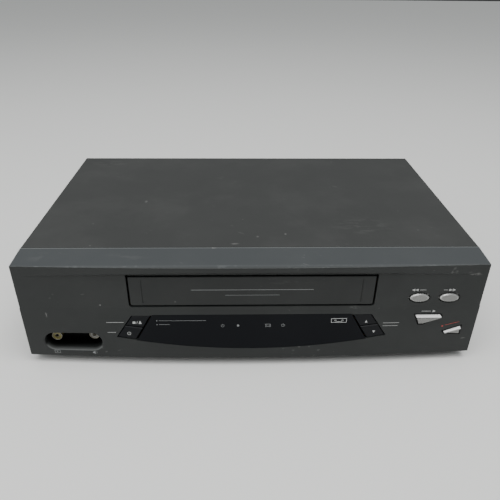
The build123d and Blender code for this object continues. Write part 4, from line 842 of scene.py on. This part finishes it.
# in the window: two lines of small print with a dot before each, then the signs of the display
windowSigns = [spot(-75.2, 42.0, 0.45), bar(-73.6, -36.4, 41.85, 42.12)]
windowSigns += [spot(-75.2, 38.5, 0.45), bar(-73.6, -65.0, 38.36, 38.62)]
windowRow = 37.4
windowLine = 0.26
windowSigns += powerSign(-23.4, windowRow, 1.3, windowLine) + [spot(-11.2, windowRow, 1.0)]
windowSigns += cassetteSign(12.6, windowRow, 4.4, 2.5, windowLine)
windowSigns += clockSign(24.6, windowRow, 1.35, windowLine)
# a plain cassette in the place of the format's mark
formatSign = cassetteSign(69.0, 41.2, 12.5, 3.9, 0.36) + [bar(66.6, 71.4, 40.0, 40.3)]
# record: a dot and a slanting line for the word
recordSigns = [spot(153.4, 34.6, 0.75), [(155.4, 35.35), (166.6, 38.35), (166.6, 38.7), (155.4, 35.7)]]
# outlines of the two large buttons, and the width of the painted shadow round each, which stands in for the
# dark gap
playEdge = [(129.0, 46.3), (149.8, 46.3), (151.2, 44.6), (136.8, 37.0), (133.0, 37.1)]
playWide = 0.55
recordEdge = [(154.2, 29.6), (168.8, 34.9), (168.6, 26.6), (155.8, 27.8)]
recordWide = 0.6
# lines for the words on the door
doorSigns = [bar(-47, 47, 69.85, 70.25), bar(-21, 21, 65.0, 65.25)]
# stop's square, eject's arrow over a bar, and the stroke between them
stopEjectSigns = [bar(-94.2, -92.0, 39.4, 41.4)]
stopEjectSigns += [pointer(-88.4, 40.9, arrowHalf, "up"), bar(-89.6, -87.2, 39.2, 39.6)]
stopEjectSigns += [bar(-91.2, -90.85, 39.2, 41.7, 0.6)]
atCap = behind(frontForm["capBack"])
prints = [
    # name, forms, surface, ink and body
    ("bezelMarks", bezelSigns, behind(0), "whiteInk", "case"),
    ("jackMarks", jackSigns, behind(0), "greyInk", "case"),
    ("windowMarks", windowSigns, behind(frontForm["windowBack"]), "greyInk", "case"),
    ("formatMark", formatSign, behind(frontForm["windowBack"]), "whiteInk", "case"),
    ("recordMarks", recordSigns, behind(0), "redInk", "case"),
    # painted shadow round play and record, standing in for the dark gap round each button
    ("buttonGapShade", rim(playEdge, playWide) + rim(recordEdge, recordWide), behind(0), "blackInk", "case"),
    ("doorMarks", doorSigns, behind(frontForm["doorBack"]), "greyInk", "door"),
    ("stopEjectMark", stopEjectSigns, atCap, "whiteInk", "stop_eject"),
    ("powerMark", powerSign(-97.8, 30.4, 1.5, 0.34), atCap, "whiteInk", "power"),
    ("channelUpMark", [pointer(91.0, 40.2, smallArrowHalf, "up")], atCap, "whiteInk", "channel_up"),
    ("channelDownMark", [pointer(97.9, 30.3, smallArrowHalf, "down")], atCap, "whiteInk", "channel_down"),
]
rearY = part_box("rear_panel")[1].y
rearProud = -0.04             # these marks face the other way
# a frame round all the connectors, with a bar between the aerial's part and the jacks'
rearSigns = edging(-172, -88, 12.5, 51, 0.4) + [bar(-121.4, -121.0, 12.5, 51)]
# over the two aerial connectors: signal out and in, with a line for each word
rearSigns += [pointer(-160, 40.6, 1.3, "down"), pointer(-140, 40.6, 1.3, "up")]
rearSigns += [bar(-164, -156, 44.0, 44.4), bar(-144, -136, 44.0, 44.4)]
# a frame round each row of jacks, audio below and video above, and its sign
rearSigns += edging(-120, -90.5, 18.6, 33.4, 0.3) + edging(-120, -90.5, 34.6, 49.4, 0.3)
rearSigns += [pointer(-117.3, 40.6, 0.9, "right"), bar(-118.6, -116.2, 43.6, 43.9)]
rearSigns += speakerSign(-117.6, 27.6, 1.4, 0.3)
# the channel switch's two positions, the cord gland's ring and the label's frame
rearSigns += [spot(-127.5, 23.8, 0.5), spot(-124.5, 23.8, 0.5)]
rearSigns += hoop(150, 26, 10.2, 0.35) + edging(36, 104, 18, 44, 0.35)
for facts in prints:
    makePrint(*facts)
makePrint("rearMarks", rearSigns, lambda x, z: rearY, "greyInk", "case", rearProud)
print("printed marks:", len(prints) + 1)


turnedForm = {"steps": 32, "crease": 0.6}   # sides of a round, and the angle in radians that stays sharp


def makeTurned(name, places, start, profile, look):
    # places are x and height in mm, start is y, and the profile is a closed outline of radius and y in mm
    mesh = bpy.data.meshes.new(name)
    shape = bmesh.new()
    for x, z in places:
        middle = Vector((x * mm, start, z * mm))
        rings = []
        for step in range(turnedForm["steps"]):
            angle = step * math.tau / turnedForm["steps"]
            across, up = math.cos(angle) * mm, math.sin(angle) * mm
            rings.append([shape.verts.new(middle + Vector((radius * across, deep * mm, radius * up)))
                          for radius, deep in profile])
        for ring, nextRing in zip(rings, rings[1:] + rings[:1]):
            for first, second in zip(range(len(profile)), [*range(1, len(profile)), 0]):
                shape.faces.new((ring[first], ring[second], nextRing[second], nextRing[first]))
    bmesh.ops.recalc_face_normals(shape, faces=shape.faces)
    shape.to_mesh(mesh)
    shape.free()
    mesh.materials.append(looks[look])
    for face in mesh.polygons:
        face.use_smooth = True
    thing = bpy.data.objects.new(name, mesh)
    bpy.context.scene.collection.objects.link(thing)
    edges = thing.modifiers.new("edges", "EDGE_SPLIT")
    edges.split_angle = turnedForm["crease"]
    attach(thing, "case")


frontJacks = [(-158.4, 22.2), (-128.0, 23.2)]
rearColumns = (-112, -98)
videoRow, audioRow = 42, 26
videoJacks = [(x, videoRow) for x in rearColumns]
audioJacks = [(x, audioRow) for x in rearColumns]
rearJacks = [(x, z) for x in rearColumns for z in (audioRow, videoRow)]
aerials = [(-160, 32), (-140, 32)]
springDeep = 6 * mm           # from the face's straight part back to the front jacks' springs
faceSink = 0.1 * mm           # from the end of a barrel or a connector to the face of its insulator
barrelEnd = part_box("rear_jack_barrels")[1].y
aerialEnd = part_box("aerial_connectors")[1].y
# outlines of (radius, y)
sleeve = [(3.45, 6.1), (3.45, 5.8), (3.6, 5.65), (4.0, 5.65), (4.2, 5.85), (4.2, 8.5), (4.1, 8.5), (4.1, 6.1)]
spring = [(1.15, 0.9), (1.15, 5.0), (1.6, 5.0), (1.75, 0.7), (1.6, 0.5), (1.3, 0.5)]
rearSpring = [(radius, -deep) for radius, deep in spring]
insulator = [(1.75, -0.3), (1.75, -0.02), (1.9, 0.05), (3.15, 0.05), (3.3, -0.02), (3.3, -0.3)]
turned = [
    # name, places, y of the start, outline and look
    ("frontJackSleeves", frontJacks, frontY, sleeve, "dullNickel"),
    ("frontJackSprings", frontJacks, frontY + springDeep, spring, "dullNickel"),
    ("videoJackFaces", videoJacks, barrelEnd - faceSink, insulator, "yellowMoulding"),
    ("audioJackFaces", audioJacks, barrelEnd - faceSink, insulator, "whiteMoulding"),
    ("rearJackSprings", rearJacks, barrelEnd, rearSpring, "nickel"),
    ("aerialFaces", aerials, aerialEnd - faceSink, insulator, "whiteMoulding"),
]
for facts in turned:
    makeTurned(*facts)
print("turned fittings:", len(turned))
